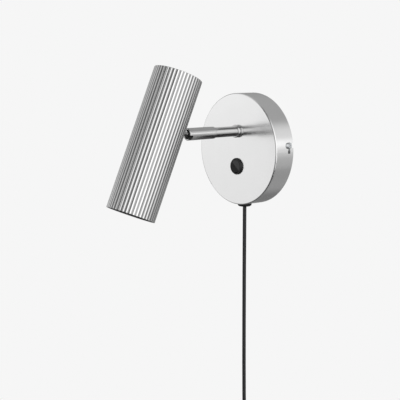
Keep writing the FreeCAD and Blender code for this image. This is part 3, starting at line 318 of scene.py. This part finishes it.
@dataclass(frozen=True)
class Glass:
    """Pressed lamp glass with a faintly stippled back."""

    name: str
    colour: str
    stipple_mm: float = 1.6

    def build(self) -> bpy.types.Material:
        """Make the node material.

        Returns:
            The finished material.
        """
        material, tree = empty_material(self.name)
        place = add_node(tree, "ShaderNodeTexCoord")
        cells = add_node(tree, "ShaderNodeTexVoronoi", {"Vector": place.outputs["Object"]},
                         {"Scale": 1.0 / (self.stipple_mm * MM)})
        bump = add_node(tree, "ShaderNodeBump", {"Height": cells.outputs["Distance"]},
                        {"Strength": 0.6, "Distance": 0.15 * MM})
        rough = add_node(tree, "ShaderNodeMapRange", {"Value": cells.outputs["Distance"]},
                         {"To Min": 0.12, "To Max": 0.2})
        shader = add_node(tree, "ShaderNodeBsdfPrincipled",
                          {"Roughness": rough.outputs["Result"], "Normal": bump.outputs["Normal"]},
                          {"Base Color": linear(self.colour), "Transmission Weight": 0.85,
                           "IOR": 1.5})
        add_node(tree, "ShaderNodeOutputMaterial", {"Surface": shader.outputs["BSDF"]})
        return material


# --------------------------------------------------------------------------- finishes
class Finish(Enum):
    """The object's own finishes, one for each real material and process."""

    # Nickel plate over spun steel, buffed to a soft mirror: a bright face that blurs the arm.
    BUFFED_NICKEL = Metal("nickel_plate_buffed", "E9E9E9", "E5E5E5", 0.20, 0.02)
    # The same plate on turned tube, brighter than the cup and streaked along its length.
    POLISHED_NICKEL = Metal("nickel_plate_polished", "D6D6D6", "CECECE", 0.13, 0.02,
                            grain=Grain.ALONG_ARM)
    # Nickel plate with a brushed sleeve: lines run along the arm and the highlight spreads across.
    BRUSHED_NICKEL = Metal("nickel_plate_brushed", "D6D6D6", "CCCCCC", 0.18, 0.03, line_mm=0.3,
                           grain=Grain.ALONG_ARM)
    # Extruded aluminium, satin anodised: pale flutes whose crests shine, with painted shade that
    # darkens the grooves.
    FLUTED_ALUMINIUM = Fluted("aluminium_fluted_groove_shade_painted", "EFEFEF", "989898", 0.20)
    # The same aluminium, turned flat for the top disc.
    TURNED_ALUMINIUM = Metal("aluminium_turned_anodised", "B9B9B9", "ABABAB", 0.36, 0.05,
                             line_mm=0.5)
    # Zinc-plated sheet and screws: blue-grey, cloudy, only half bright.
    ZINC_PLATE = Metal("steel_zinc_plated", "D2D4D5", "BCBEC0", 0.22, 0.05, line_mm=1.2)
    # Oiled spring steel: dark and smooth.
    SPRING_STEEL = Metal("steel_spring_oiled", "6D6E70", "55565A", 0.34, 0.06)
    # Turned brass: warm, fine tool lines.
    TURNED_BRASS = Metal("brass_turned", "C9A765", "B08F4F", 0.28, 0.06)
    # Nickel-plated brass contacts.
    PLATED_PIN = Metal("brass_nickel_plated", "C8C5BE", "B9B5AC", 0.2, 0.04)
    # Black nylon moulded in a spark-eroded tool: matt, grainy.
    MOULDED_BLACK = Moulded("nylon_black_moulded", "0A0A0B", "0E0E0F", 0.46, 0.35, 0.02)
    # Polished black rocker: the same plastic with a satin shine.
    ROCKER_BLACK = Moulded("polycarbonate_black_satin", "0A0A0B", "0D0D0E", 0.34, 0.5, 0.006)
    # Soft round sheath: dark grey vinyl, faintly wavy from extrusion.
    CORD_SHEATH = Moulded("vinyl_sheath_extruded", "161617", "1D1D1F", 0.42, 1.2, 0.006)
    # Matt black paint inside the mouth, so that the lamp doesn't glare.
    BAFFLE_PAINT = Moulded("paint_matt_black", "101011", "161617", 0.7, 0.4, 0.03)
    # Turned nylon bearing parts: milky and waxy.
    NATURAL_NYLON = Moulded("nylon_natural_turned", "DDD9CC", "D3CEBE", 0.4, 0.9, 0.01)
    # Glazed steatite lampholder: white, glossy, a little uneven.
    GLAZED_CERAMIC = Moulded("steatite_glazed", "E8E5DD", "DFDBD1", 0.3, 2.5, 0.03, coat=0.4)
    # Lamp shell: smooth white enamelled plastic.
    LAMP_SHELL = Moulded("lamp_shell_white", "E6E5E1", "DDDCD8", 0.32, 1.5, 0.01)
    # Heat-proof silicone on the inner wires.
    WIRE_SILICONE = Moulded("silicone_wire_red_brown", "8C3A2C", "7D3226", 0.5, 0.7, 0.01)
    # Terminal strip: cream nylon.
    TERMINAL_NYLON = Moulded("nylon_cream_moulded", "DAD7CB", "D0CCBE", 0.42, 0.6, 0.015)
    # Front of the reflector lamp.
    LAMP_GLASS = Glass("glass_pressed_clear", "F2F5F4")


class Workshop:
    """Builds each finish once and dresses CAD nodes with them."""

    def __init__(self) -> None:
        """Start with no material made."""
        self._made: dict[Finish, bpy.types.Material] = {}

    def material(self, finish: Finish) -> bpy.types.Material:
        """Return the finish's material, built when it is first asked for."""
        if finish not in self._made:
            self._made[finish] = finish.value.build()
        return self._made[finish]

    def dress(self, finish: Finish, names: Iterable[str]) -> None:
        """Put a finish on CAD nodes.

        Args:
            finish: the finish to use.
            names: the nodes that get it.
        """
        for name in names:
            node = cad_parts[name]
            for slot in node.material_slots:
                slot.material = self.material(finish)
            log.info("dressed %s in %s", name, finish.name)


# --------------------------------------------------------------------------- sub-assemblies
@dataclass
class Cord:
    """The round mains cord: down from the strain relief, wound in its coil and into the plug."""

    shop: Workshop
    radius: float = 2.2 * MM
    exit: Point = (0.0, -14.3 * MM, -67.4 * MM)
    coil_centre: Point = (0.0, -14.3 * MM, -412.0 * MM)
    coil_inner: float = 19.0 * MM
    pitch: float = 5.2 * MM
    turns: float = 2.5
    layers: int = 4
    per_turn: int = 16
    declared: float = 1.98
    tail: float = 30.0 * MM
    tail_ease: float = 12.0 * MM

    def free_points(self) -> list[Vector]:
        """The free stretch's route, as in the part's source.

        Returns:
            Control points from the strain relief down to the coil's outer turn.
        """
        side = self.coil_inner + self.pitch * self.turns
        front = self.coil_centre[1] + self.pitch * (self.layers - 1) / 2
        low = self.coil_centre[2] + 2 * self.radius
        out = self.exit[1]
        return [Vector(self.exit), Vector((0.0, out, -0.322)),
                Vector((0.009, out - 0.003, low + 0.058)),
                Vector((side - 0.003, front - 0.0015, low + 0.034)),
                Vector((side, front, low + 0.012)), Vector((side, front, low))]

    def coil_points(self) -> list[Vector]:
        """The coil's turns: a spiral in and out, stepping back one pitch a layer.

        Returns:
            Control points of the four layers, in the order that the cord runs.
        """
        steps = int(self.turns * self.per_turn)
        top = self.coil_centre[1] + self.pitch * (self.layers - 1) / 2
        fade = self.per_turn // 4
        points: list[Vector] = []
        count = 0
        for layer in range(self.layers):
            for step in range(steps + 1):
                if layer and step == 0:
                    continue
                outward = step if layer % 2 else steps - step
                radius = self.coil_inner + self.pitch * outward / self.per_turn
                level = top - self.pitch * layer
                if layer < self.layers - 1 and step > steps - fade:
                    level -= self.pitch * 0.5 * (step - steps + fade) / fade
                if layer and step < fade:
                    level += self.pitch * 0.5 * (fade - step) / fade
                angle = -math.tau * count / self.per_turn
                points.append(Vector((self.coil_centre[0] + radius * math.cos(angle), level,
                                      self.coil_centre[2] + radius * math.sin(angle))))
                count += 1
        return points

    def build(self) -> bpy.types.Object:
        """Returns:
            The cord's curve.
        """
        turns = self.coil_points()
        last = turns[-1]
        down = Vector((0.0, 0.0, -1.0))
        tail = [last + down * self.tail_ease, last + down * self.tail]
        points = self.free_points() + turns + tail
        curve = bpy.data.curves.new("mains_cord", "CURVE")
        curve.dimensions = "3D"
        curve.bevel_depth = self.radius
        curve.bevel_resolution = 5
        curve.resolution_u = 6
        curve.use_fill_caps = True
        spline = curve.splines.new("NURBS")
        spline.points.add(len(points) - 1)
        for spot, place in zip(spline.points, points):
            spot.co = (*place, 1.0)
        spline.order_u = 3
        spline.use_endpoint_u = True
        piece = bpy.data.objects.new("mains_cord", curve)
        bpy.context.scene.collection.objects.link(piece)
        curve.materials.append(self.shop.material(Finish.CORD_SHEATH))
        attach(piece, "wall_side")
        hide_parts("cord", "cord_coil")
        self.shop.dress(Finish.MOULDED_BLACK, ["cord_tie", "plug_body"])
        self.shop.dress(Finish.PLATED_PIN, ["plug_pins"])
        log.info("mains cord: %d points", len(points))
        return piece


@dataclass
class WallSide:
    """Cup, plate, arm, switch and the wiring behind them."""

    shop: Workshop

    def build(self) -> None:
        """Dress the fixed side's nodes."""
        shop = self.shop
        shop.dress(Finish.BUFFED_NICKEL, ["canopy_cup"])
        shop.dress(Finish.POLISHED_NICKEL, ["arm_tube", "arm_collar"])
        shop.dress(Finish.ZINC_PLATE, ["wall_plate", "cup_lock_screws", "arm_lock_nut",
                                       "swivel_bolt", "earth_screw", "clamp_screws"])
        shop.dress(Finish.SPRING_STEEL, ["arm_toothed_washer", "earth_washer"])
        shop.dress(Finish.MOULDED_BLACK, ["switch_housing", "cord_gland", "gland_nut", "clamp_base",
                                          "clamp_bar"])
        shop.dress(Finish.TURNED_BRASS, ["switch_terminals", "terminal_screws"])
        shop.dress(Finish.TERMINAL_NYLON, ["terminal_block"])
        shop.dress(Finish.NATURAL_NYLON, ["wire_bush"])
        shop.dress(Finish.CORD_SHEATH, ["inner_lead"])
        shop.dress(Finish.WIRE_SILICONE, ["arm_wires"])


@dataclass
class Swivel:
    """Sleeve, ball and what lies between them."""

    shop: Workshop

    def build(self) -> None:
        """Dress the swivel's nodes."""
        shop = self.shop
        shop.dress(Finish.BRUSHED_NICKEL, ["swivel_socket"])
        shop.dress(Finish.POLISHED_NICKEL, ["neck_tube", "neck_saddle"])
        shop.dress(Finish.MOULDED_BLACK, ["swivel_ball"])
        shop.dress(Finish.SPRING_STEEL, ["swivel_washer", "seat_springs", "neck_clip"])
        shop.dress(Finish.NATURAL_NYLON, ["ball_seat"])
        shop.dress(Finish.ZINC_PLATE, ["neck_nut"])


@dataclass
class Shade:
    """The fluted tube with the lamp inside."""

    shop: Workshop
    length: float = 162.0 * MM
    above_neck: float = 54.2 * MM
    crest: float = 27.5 * MM
    groove: float = 27.0 * MM
    bore: float = 25.7 * MM
    lip: float = 0.25 * MM
    flutes: int = 42
    steps: int = 16
    neck_hole: float = 2.7 * MM
    hole_sides: int = 48
    sharp_degrees: float = 28.0

    def flute_tree(self) -> bpy.types.GeometryNodeTree:
        """Node tree that sweeps the wall's section round a circle and presses the flutes into it.

        Returns:
            The tree, with the tube's sizes as named inputs.
        """
        tree = bpy.data.node_groups.new("fluted_tube", "GeometryNodeTree")
        face = tree.interface
        lengths = ("Length", "Crest Radius", "Groove Radius", "Bore Radius", "Lip", "Neck Hole",
                   "Neck Below Top")
        sockets = [(name, "Float") for name in lengths]
        sockets += [("Flutes", "Int"), ("Steps", "Int"), ("Finish", "Material")]
        for name, kind in sockets:
            face.new_socket(name, in_out="INPUT", socket_type="NodeSocket" + kind)
        face.new_socket("Geometry", in_out="OUTPUT", socket_type="NodeSocketGeometry")
        given = add_node(tree, "NodeGroupInput").outputs

        def maths(operation: str, *items: Any) -> bpy.types.NodeSocket:
            """Work out one sum.

            Args:
                operation: the sum's name.
                items: its terms, each a socket or a number.

            Returns:
                The socket with the answer.
            """
            node = add_node(tree, "ShaderNodeMath", operation=operation)
            for index, item in enumerate(items):
                if isinstance(item, bpy.types.NodeSocket):
                    tree.links.new(item, node.inputs[index])
                else:
                    node.inputs[index].default_value = item
            return node.outputs[0]

        wall = maths("SUBTRACT", given["Crest Radius"], given["Bore Radius"])
        middle = maths("MULTIPLY", maths("ADD", given["Crest Radius"], given["Bore Radius"]), 0.5)
        path = add_node(tree, "GeometryNodeCurvePrimitiveCircle",
                        {"Resolution": maths("MULTIPLY", given["Flutes"], given["Steps"]),
                         "Radius": middle}, mode="RADIUS")
        section = add_node(tree, "GeometryNodeCurvePrimitiveQuadrilateral",
                           {"Width": wall, "Height": given["Length"]}, mode="RECTANGLE")
        eased = add_node(tree, "GeometryNodeFilletCurve",
                         {"Curve": section.outputs["Curve"], "Radius": given["Lip"]},
                         {"Count": 1, "Limit Radius": True}, mode="POLY")
        swept = add_node(tree, "GeometryNodeCurveToMesh",
                         {"Curve": path.outputs["Curve"], "Profile Curve": eased.outputs["Curve"]})
        spot = add_node(tree, "GeometryNodeInputPosition")
        parts = add_node(tree, "ShaderNodeSeparateXYZ", {"Vector": spot.outputs["Position"]})
        flat = add_node(tree, "ShaderNodeCombineXYZ",
                        {"X": parts.outputs["X"], "Y": parts.outputs["Y"]})
        radius = add_node(tree, "ShaderNodeVectorMath", {0: flat.outputs["Vector"]},
                          operation="LENGTH")
        angle = maths("ARCTAN2", parts.outputs["Y"], parts.outputs["X"])
        wave = maths("SINE", maths("MULTIPLY", angle, given["Flutes"]))
        sink = maths("MULTIPLY_ADD", wave, -0.5, 0.5)
        past_bore = maths("SUBTRACT", radius.outputs["Value"], given["Bore Radius"])
        outside = maths("DIVIDE", past_bore, wall)
        depth = maths("MULTIPLY", maths("SUBTRACT", given["Crest Radius"], given["Groove Radius"]),
                      maths("MULTIPLY", sink, outside))
        outward = add_node(tree, "ShaderNodeVectorMath", {0: flat.outputs["Vector"]},
                           operation="NORMALIZE")
        push = add_node(tree, "ShaderNodeVectorMath",
                        {0: outward.outputs["Vector"], "Scale": maths("MULTIPLY", depth, -1.0)},
                        operation="SCALE")
        pressed = add_node(tree, "GeometryNodeSetPosition",
                           {"Geometry": swept.outputs["Mesh"], "Offset": push.outputs["Vector"]})
        drill = add_node(tree, "GeometryNodeMeshCylinder",
                         {"Radius": given["Neck Hole"], "Depth": maths("MULTIPLY", wall, 4.0)},
                         {"Vertices": self.hole_sides})
        half = maths("MULTIPLY", given["Length"], 0.5)
        seat = add_node(tree, "ShaderNodeCombineXYZ",
                        {"Y": middle, "Z": maths("SUBTRACT", half, given["Neck Below Top"])})
        aimed = add_node(tree, "GeometryNodeTransform",
                         {"Geometry": drill.outputs["Mesh"], "Translation": seat.outputs["Vector"]},
                         {"Rotation": (math.pi / 2, 0.0, 0.0)})
        drilled = add_node(tree, "GeometryNodeMeshBoolean",
                           {"Mesh 1": pressed.outputs["Geometry"],
                            "Mesh 2": aimed.outputs["Geometry"]},
                           operation="DIFFERENCE")
        soft = add_node(tree, "GeometryNodeSetShadeSmooth", {0: drilled.outputs["Mesh"]},
                        {"Shade Smooth": True}, domain="FACE")
        fold = add_node(tree, "GeometryNodeInputMeshEdgeAngle")
        sharp = maths("GREATER_THAN", fold.outputs["Unsigned Angle"],
                      math.radians(self.sharp_degrees))
        crisp = add_node(tree, "GeometryNodeSetShadeSmooth",
                         {0: soft.outputs[0], "Selection": sharp}, {"Shade Smooth": False},
                         domain="EDGE")
        dressed = add_node(tree, "GeometryNodeSetMaterial",
                           {"Geometry": crisp.outputs[0], "Material": given["Finish"]})
        real = add_node(tree, "GeometryNodeRealizeInstances",
                        {"Geometry": dressed.outputs["Geometry"]})
        add_node(tree, "NodeGroupOutput", {"Geometry": real.outputs["Geometry"]})
        return tree

    def fluted_tube(self) -> bpy.types.Object:
        """Make the fluted tube and stand it in place of its plain solid.

        Returns:
            The tube, which rides on the head.
        """
        tree = self.flute_tree()
        values = {"Length": self.length, "Crest Radius": self.crest, "Groove Radius": self.groove,
                  "Bore Radius": self.bore, "Lip": self.lip, "Neck Hole": self.neck_hole,
                  "Neck Below Top": self.above_neck,
                  "Flutes": self.flutes, "Steps": self.steps,
                  "Finish": self.shop.material(Finish.FLUTED_ALUMINIUM)}
        holder = bpy.data.objects.new("flute_maker", bpy.data.meshes.new("flute_seed"))
        bpy.context.scene.collection.objects.link(holder)
        maker = holder.modifiers.new("flutes", "NODES")
        maker.node_group = tree
        for item in tree.interface.items_tree:
            if item.in_out == "INPUT":
                maker[item.identifier] = values[item.name]
        bpy.context.view_layer.update()
        seen = holder.evaluated_get(bpy.context.evaluated_depsgraph_get())
        mesh = bpy.data.meshes.new_from_object(seen)
        bpy.data.objects.remove(holder)
        middle = self.above_neck - self.length / 2
        mesh.transform(Matrix.Translation((0.0, 0.0, middle)))
        mesh.transform(shade_place())
        piece = bpy.data.objects.new("fluted_shade", mesh)
        bpy.context.scene.collection.objects.link(piece)
        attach(piece, "head")
        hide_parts("shade_tube")
        log.info("fluted shade: %d faces", len(mesh.polygons))
        return piece

    def build(self) -> None:
        """Make the shade's tube and dress its other nodes."""
        shop = self.shop
        self.fluted_tube()
        shop.dress(Finish.TURNED_ALUMINIUM, ["shade_top_disc"])
        shop.dress(Finish.BAFFLE_PAINT, ["mouth_baffle"])
        shop.dress(Finish.ZINC_PLATE, ["lamp_strap", "lampholder_screws"])
        shop.dress(Finish.GLAZED_CERAMIC, ["lampholder"])
        shop.dress(Finish.LAMP_SHELL, ["bulb_body"])
        shop.dress(Finish.LAMP_GLASS, ["bulb_glass"])
        shop.dress(Finish.PLATED_PIN, ["bulb_pins"])
        shop.dress(Finish.WIRE_SILICONE, ["lamp_wires"])


@dataclass
class Rocker:
    """The switch's moving button."""

    shop: Workshop

    def build(self) -> None:
        """Dress the rocker."""
        self.shop.dress(Finish.ROCKER_BLACK, ["switch_rocker"])


# --------------------------------------------------------------------------- studio
@dataclass(frozen=True)
class Patch:
    """A soft-edged lighter or darker patch on the tent, seen only in polished metal."""

    towards: Point
    amount: float
    inner_degrees: float
    outer_degrees: float


@dataclass(frozen=True)
class SoftBox:
    """A soft lamp aimed at the object."""

    name: str
    at: Point
    to: Point
    wide: float
    high: float
    watts: float


@dataclass
class Studio:
    """Pale floor, soft lights, the tent that the metal mirrors, and the camera."""

    paper: str = "F6F6F6"
    ambient: float = 0.55
    floor_z: float = -0.62
    floor_half: float = 6.0
    shadow_core: float = 0.15
    shadow_reach: float = 0.7
    camera_at: Point = (0.83640, -0.79330, 0.10500)
    camera_to: Point = (-0.02187, -0.06500, -0.05871)
    lens_mm: float = 87.81
    lamps: tuple[SoftBox, ...] = (
        SoftBox("left_softbox", (-1.1, -1.2, 0.7), (0.0, -0.05, 0.0), 0.6, 0.6, 4.0),
        SoftBox("right_softbox", (1.5, -0.3, 0.8), (0.0, -0.05, 0.0), 0.5, 0.9, 5.0),
        SoftBox("top_softbox", (0.1, -0.5, 1.5), (0.0, -0.1, 0.0), 0.8, 0.8, 5.0),
    )
    tent_radius: float = 3.0
    tent_grey: float = 0.34
    tent_least: float = 0.02
    patches: tuple[Patch, ...] = (
        Patch((0.93, -0.33, 0.16), 0.98, 32.0, 54.0),
        Patch((-0.76, -0.62, -0.18), 0.65, 14.0, 32.0),
        Patch((0.68, 0.69, 0.25), 0.46, 4.0, 30.0),
        Patch((0.765, 0.63, 0.15), 0.60, 2.0, 10.0),
        Patch((-0.10, -0.90, 0.43), -0.08, 12.0, 28.0),
        Patch((-0.78, -0.48, 0.40), 0.32, 16.0, 30.0),
        Patch((0.62, -0.62, -0.48), -0.52, 12.0, 32.0),
        Patch((0.85, 0.12, -0.51), -0.40, 8.0, 26.0),
        Patch((0.67, 0.70, -0.24), 0.14, 6.0, 20.0),
        Patch((0.30, -0.60, 0.74), -0.20, 10.0, 28.0),
        Patch((-0.40, -0.50, 0.77), 0.40, 6.0, 24.0),
        Patch((-0.45, 0.62, -0.64), -0.14, 8.0, 28.0),
        Patch((0.0, 0.3, 1.0), 0.08, 20.0, 70.0),
        Patch((-0.2, -0.5, -0.85), -0.24, 10.0, 60.0),
    )

    def paper_shader(self, tree: bpy.types.NodeTree) -> tuple[bpy.types.NodeSocket, Colour]:
        """Find which rays see the bare paper.

        Args:
            tree: the tree that gets the nodes.

        Returns:
            The share of a ray that sees bare paper, and the paper's colour.
        """
        path = add_node(tree, "ShaderNodeLightPath")
        either = add_node(tree, "ShaderNodeMath",
                          {0: path.outputs["Is Camera Ray"], 1: path.outputs["Is Glossy Ray"]},
                          operation="MAXIMUM")
        seen = add_node(tree, "ShaderNodeMath", {0: either.outputs[0],
                                                 1: path.outputs["Is Transmission Ray"]},
                        operation="MAXIMUM")
        return seen.outputs[0], linear(self.paper)

    def build_world(self) -> None:
        """Pale background for what is seen, softer light for what is lit."""
        world = bpy.data.worlds.new("paper_surround")
        world.use_nodes = True
        tree = world.node_tree
        tree.nodes.clear()
        seen, colour = self.paper_shader(tree)
        light = add_node(tree, "ShaderNodeBackground", values={"Color": (1, 1, 1, 1),
                                                               "Strength": self.ambient})
        paper = add_node(tree, "ShaderNodeBackground", values={"Color": colour, "Strength": 1.0})
        mix = add_node(tree, "ShaderNodeMixShader",
                       {0: seen, 1: light.outputs[0], 2: paper.outputs[0]})
        add_node(tree, "ShaderNodeOutputWorld", {"Surface": mix.outputs[0]})
        bpy.context.scene.world = world

    def build_floor(self) -> None:
        """Plain floor in the paper's colour, which takes the object's shadow near its foot."""
        half = self.floor_half
        mesh = bpy.data.meshes.new("floor")
        mesh.from_pydata([(-half, -half, self.floor_z), (half, -half, self.floor_z),
                          (half, half, self.floor_z), (-half, half, self.floor_z)],
                         [], [(0, 1, 2, 3)])
        floor = self.stand(mesh)
        material, tree = empty_material("paper_floor")
        seen, colour = self.paper_shader(tree)
        place = add_node(tree, "ShaderNodeTexCoord")
        away = add_node(tree, "ShaderNodeVectorMath", {0: place.outputs["Object"]},
                        {1: (0.0, -0.1, self.floor_z)}, operation="DISTANCE")
        bare = add_node(tree, "ShaderNodeMapRange", {"Value": away.outputs["Value"]},
                        {"From Min": self.shadow_core, "From Max": self.shadow_reach, "To Min": 0.6,
                         "To Max": 1.0}, interpolation_type="SMOOTHSTEP")
        share = add_node(tree, "ShaderNodeMath", {0: seen, 1: bare.outputs["Result"]},
                         operation="MULTIPLY")
        matt = add_node(tree, "ShaderNodeBsdfDiffuse", values={"Color": colour})
        glow = add_node(tree, "ShaderNodeEmission", values={"Color": colour, "Strength": 1.0})
        mix = add_node(tree, "ShaderNodeMixShader",
                       {0: share.outputs[0], 1: matt.outputs[0], 2: glow.outputs[0]})
        add_node(tree, "ShaderNodeOutputMaterial", {"Surface": mix.outputs[0]})
        floor.data.materials.append(material)
        floor.visible_glossy = False

    def stand(self, mesh: bpy.types.Mesh) -> bpy.types.Object:
        """Put a mesh on the stage.

        Args:
            mesh: the mesh, already in its place.

        Returns:
            Its object, which is no piece of the part.
        """
        thing = bpy.data.objects.new(mesh.name, mesh)
        bpy.context.scene.collection.objects.link(thing)
        return thing

    def build_tent(self) -> None:
        """A photographer's tent of soft grey patches, seen by nothing but glossy rays."""
        mesh = bpy.data.meshes.new("tent")
        shell = bmesh.new()
        bmesh.ops.create_icosphere(shell, subdivisions=4, radius=self.tent_radius)
        shell.to_mesh(mesh)
        shell.free()
        tent = self.stand(mesh)
        material, tree = empty_material("tent_cloth")
        place = add_node(tree, "ShaderNodeTexCoord")
        way = add_node(tree, "ShaderNodeVectorMath", {0: place.outputs["Object"]},
                       operation="NORMALIZE")
        level: bpy.types.NodeSocket | None = None
        for patch in self.patches:
            near = add_node(tree, "ShaderNodeVectorMath", {0: way.outputs["Vector"]},
                            {1: Vector(patch.towards).normalized()}, operation="DOT_PRODUCT")
            soft = add_node(tree, "ShaderNodeMapRange", {"Value": near.outputs["Value"]},
                            {"From Min": math.cos(math.radians(patch.outer_degrees)),
                             "From Max": math.cos(math.radians(patch.inner_degrees))},
                            interpolation_type="SMOOTHSTEP")
            total = add_node(tree, "ShaderNodeMath", {0: soft.outputs["Result"]},
                             {1: patch.amount, 2: self.tent_grey if level is None else 0.0},
                             operation="MULTIPLY_ADD")
            if level is not None:
                tree.links.new(level, total.inputs[2])
            level = total.outputs[0]
        least = add_node(tree, "ShaderNodeMath", {0: level}, {1: self.tent_least},
                         operation="MAXIMUM")
        glow = add_node(tree, "ShaderNodeEmission", {"Strength": least.outputs[0]},
                        {"Color": (1.0, 1.0, 1.0, 1.0)})
        add_node(tree, "ShaderNodeOutputMaterial", {"Surface": glow.outputs[0]})
        material.cycles.emission_sampling = "NONE"
        mesh.materials.append(material)
        tent.visible_camera = False
        tent.visible_diffuse = False
        tent.visible_shadow = False
        tent.visible_transmission = False
        tent.visible_volume_scatter = False

    def build_lamps(self) -> None:
        """Soft boxes aimed at the object."""
        for box in self.lamps:
            data = bpy.data.lights.new(box.name, "AREA")
            data.shape = "RECTANGLE"
            data.size = box.wide
            data.size_y = box.high
            data.energy = box.watts
            lamp = bpy.data.objects.new(box.name, data)
            lamp.location = box.at
            lamp.rotation_mode = "QUATERNION"
            lamp.rotation_quaternion = (Vector(box.to) - Vector(box.at)).to_track_quat("-Z", "Y")
            lamp.visible_camera = False
            lamp.visible_glossy = False
            bpy.context.scene.collection.objects.link(lamp)

    def build_camera(self) -> None:
        """Camera at the photograph's place and angle."""
        data = bpy.data.cameras.new("view")
        data.sensor_width = 36.0
        data.lens = self.lens_mm
        data.clip_start = 0.01
        data.clip_end = 50.0
        camera = bpy.data.objects.new("view", data)
        camera.location = self.camera_at
        camera.rotation_mode = "QUATERNION"
        way = Vector(self.camera_to) - Vector(self.camera_at)
        camera.rotation_quaternion = way.to_track_quat("-Z", "Y")
        bpy.context.scene.collection.objects.link(camera)
        bpy.context.scene.camera = camera
        bpy.context.scene.view_settings.view_transform = "Standard"

    def build(self) -> None:
        """Set the whole stage."""
        self.build_camera()
        self.build_world()
        self.build_floor()
        self.build_lamps()
        self.build_tent()


def main() -> None:
    """Build the studio and every sub-assembly."""
    logging.basicConfig(level=logging.INFO, format="%(message)s")
    shop = Workshop()
    Studio().build()
    Cord(shop).build()
    WallSide(shop).build()
    Swivel(shop).build()
    Shade(shop).build()
    Rocker(shop).build()


if __name__ == "__main__":
    main()
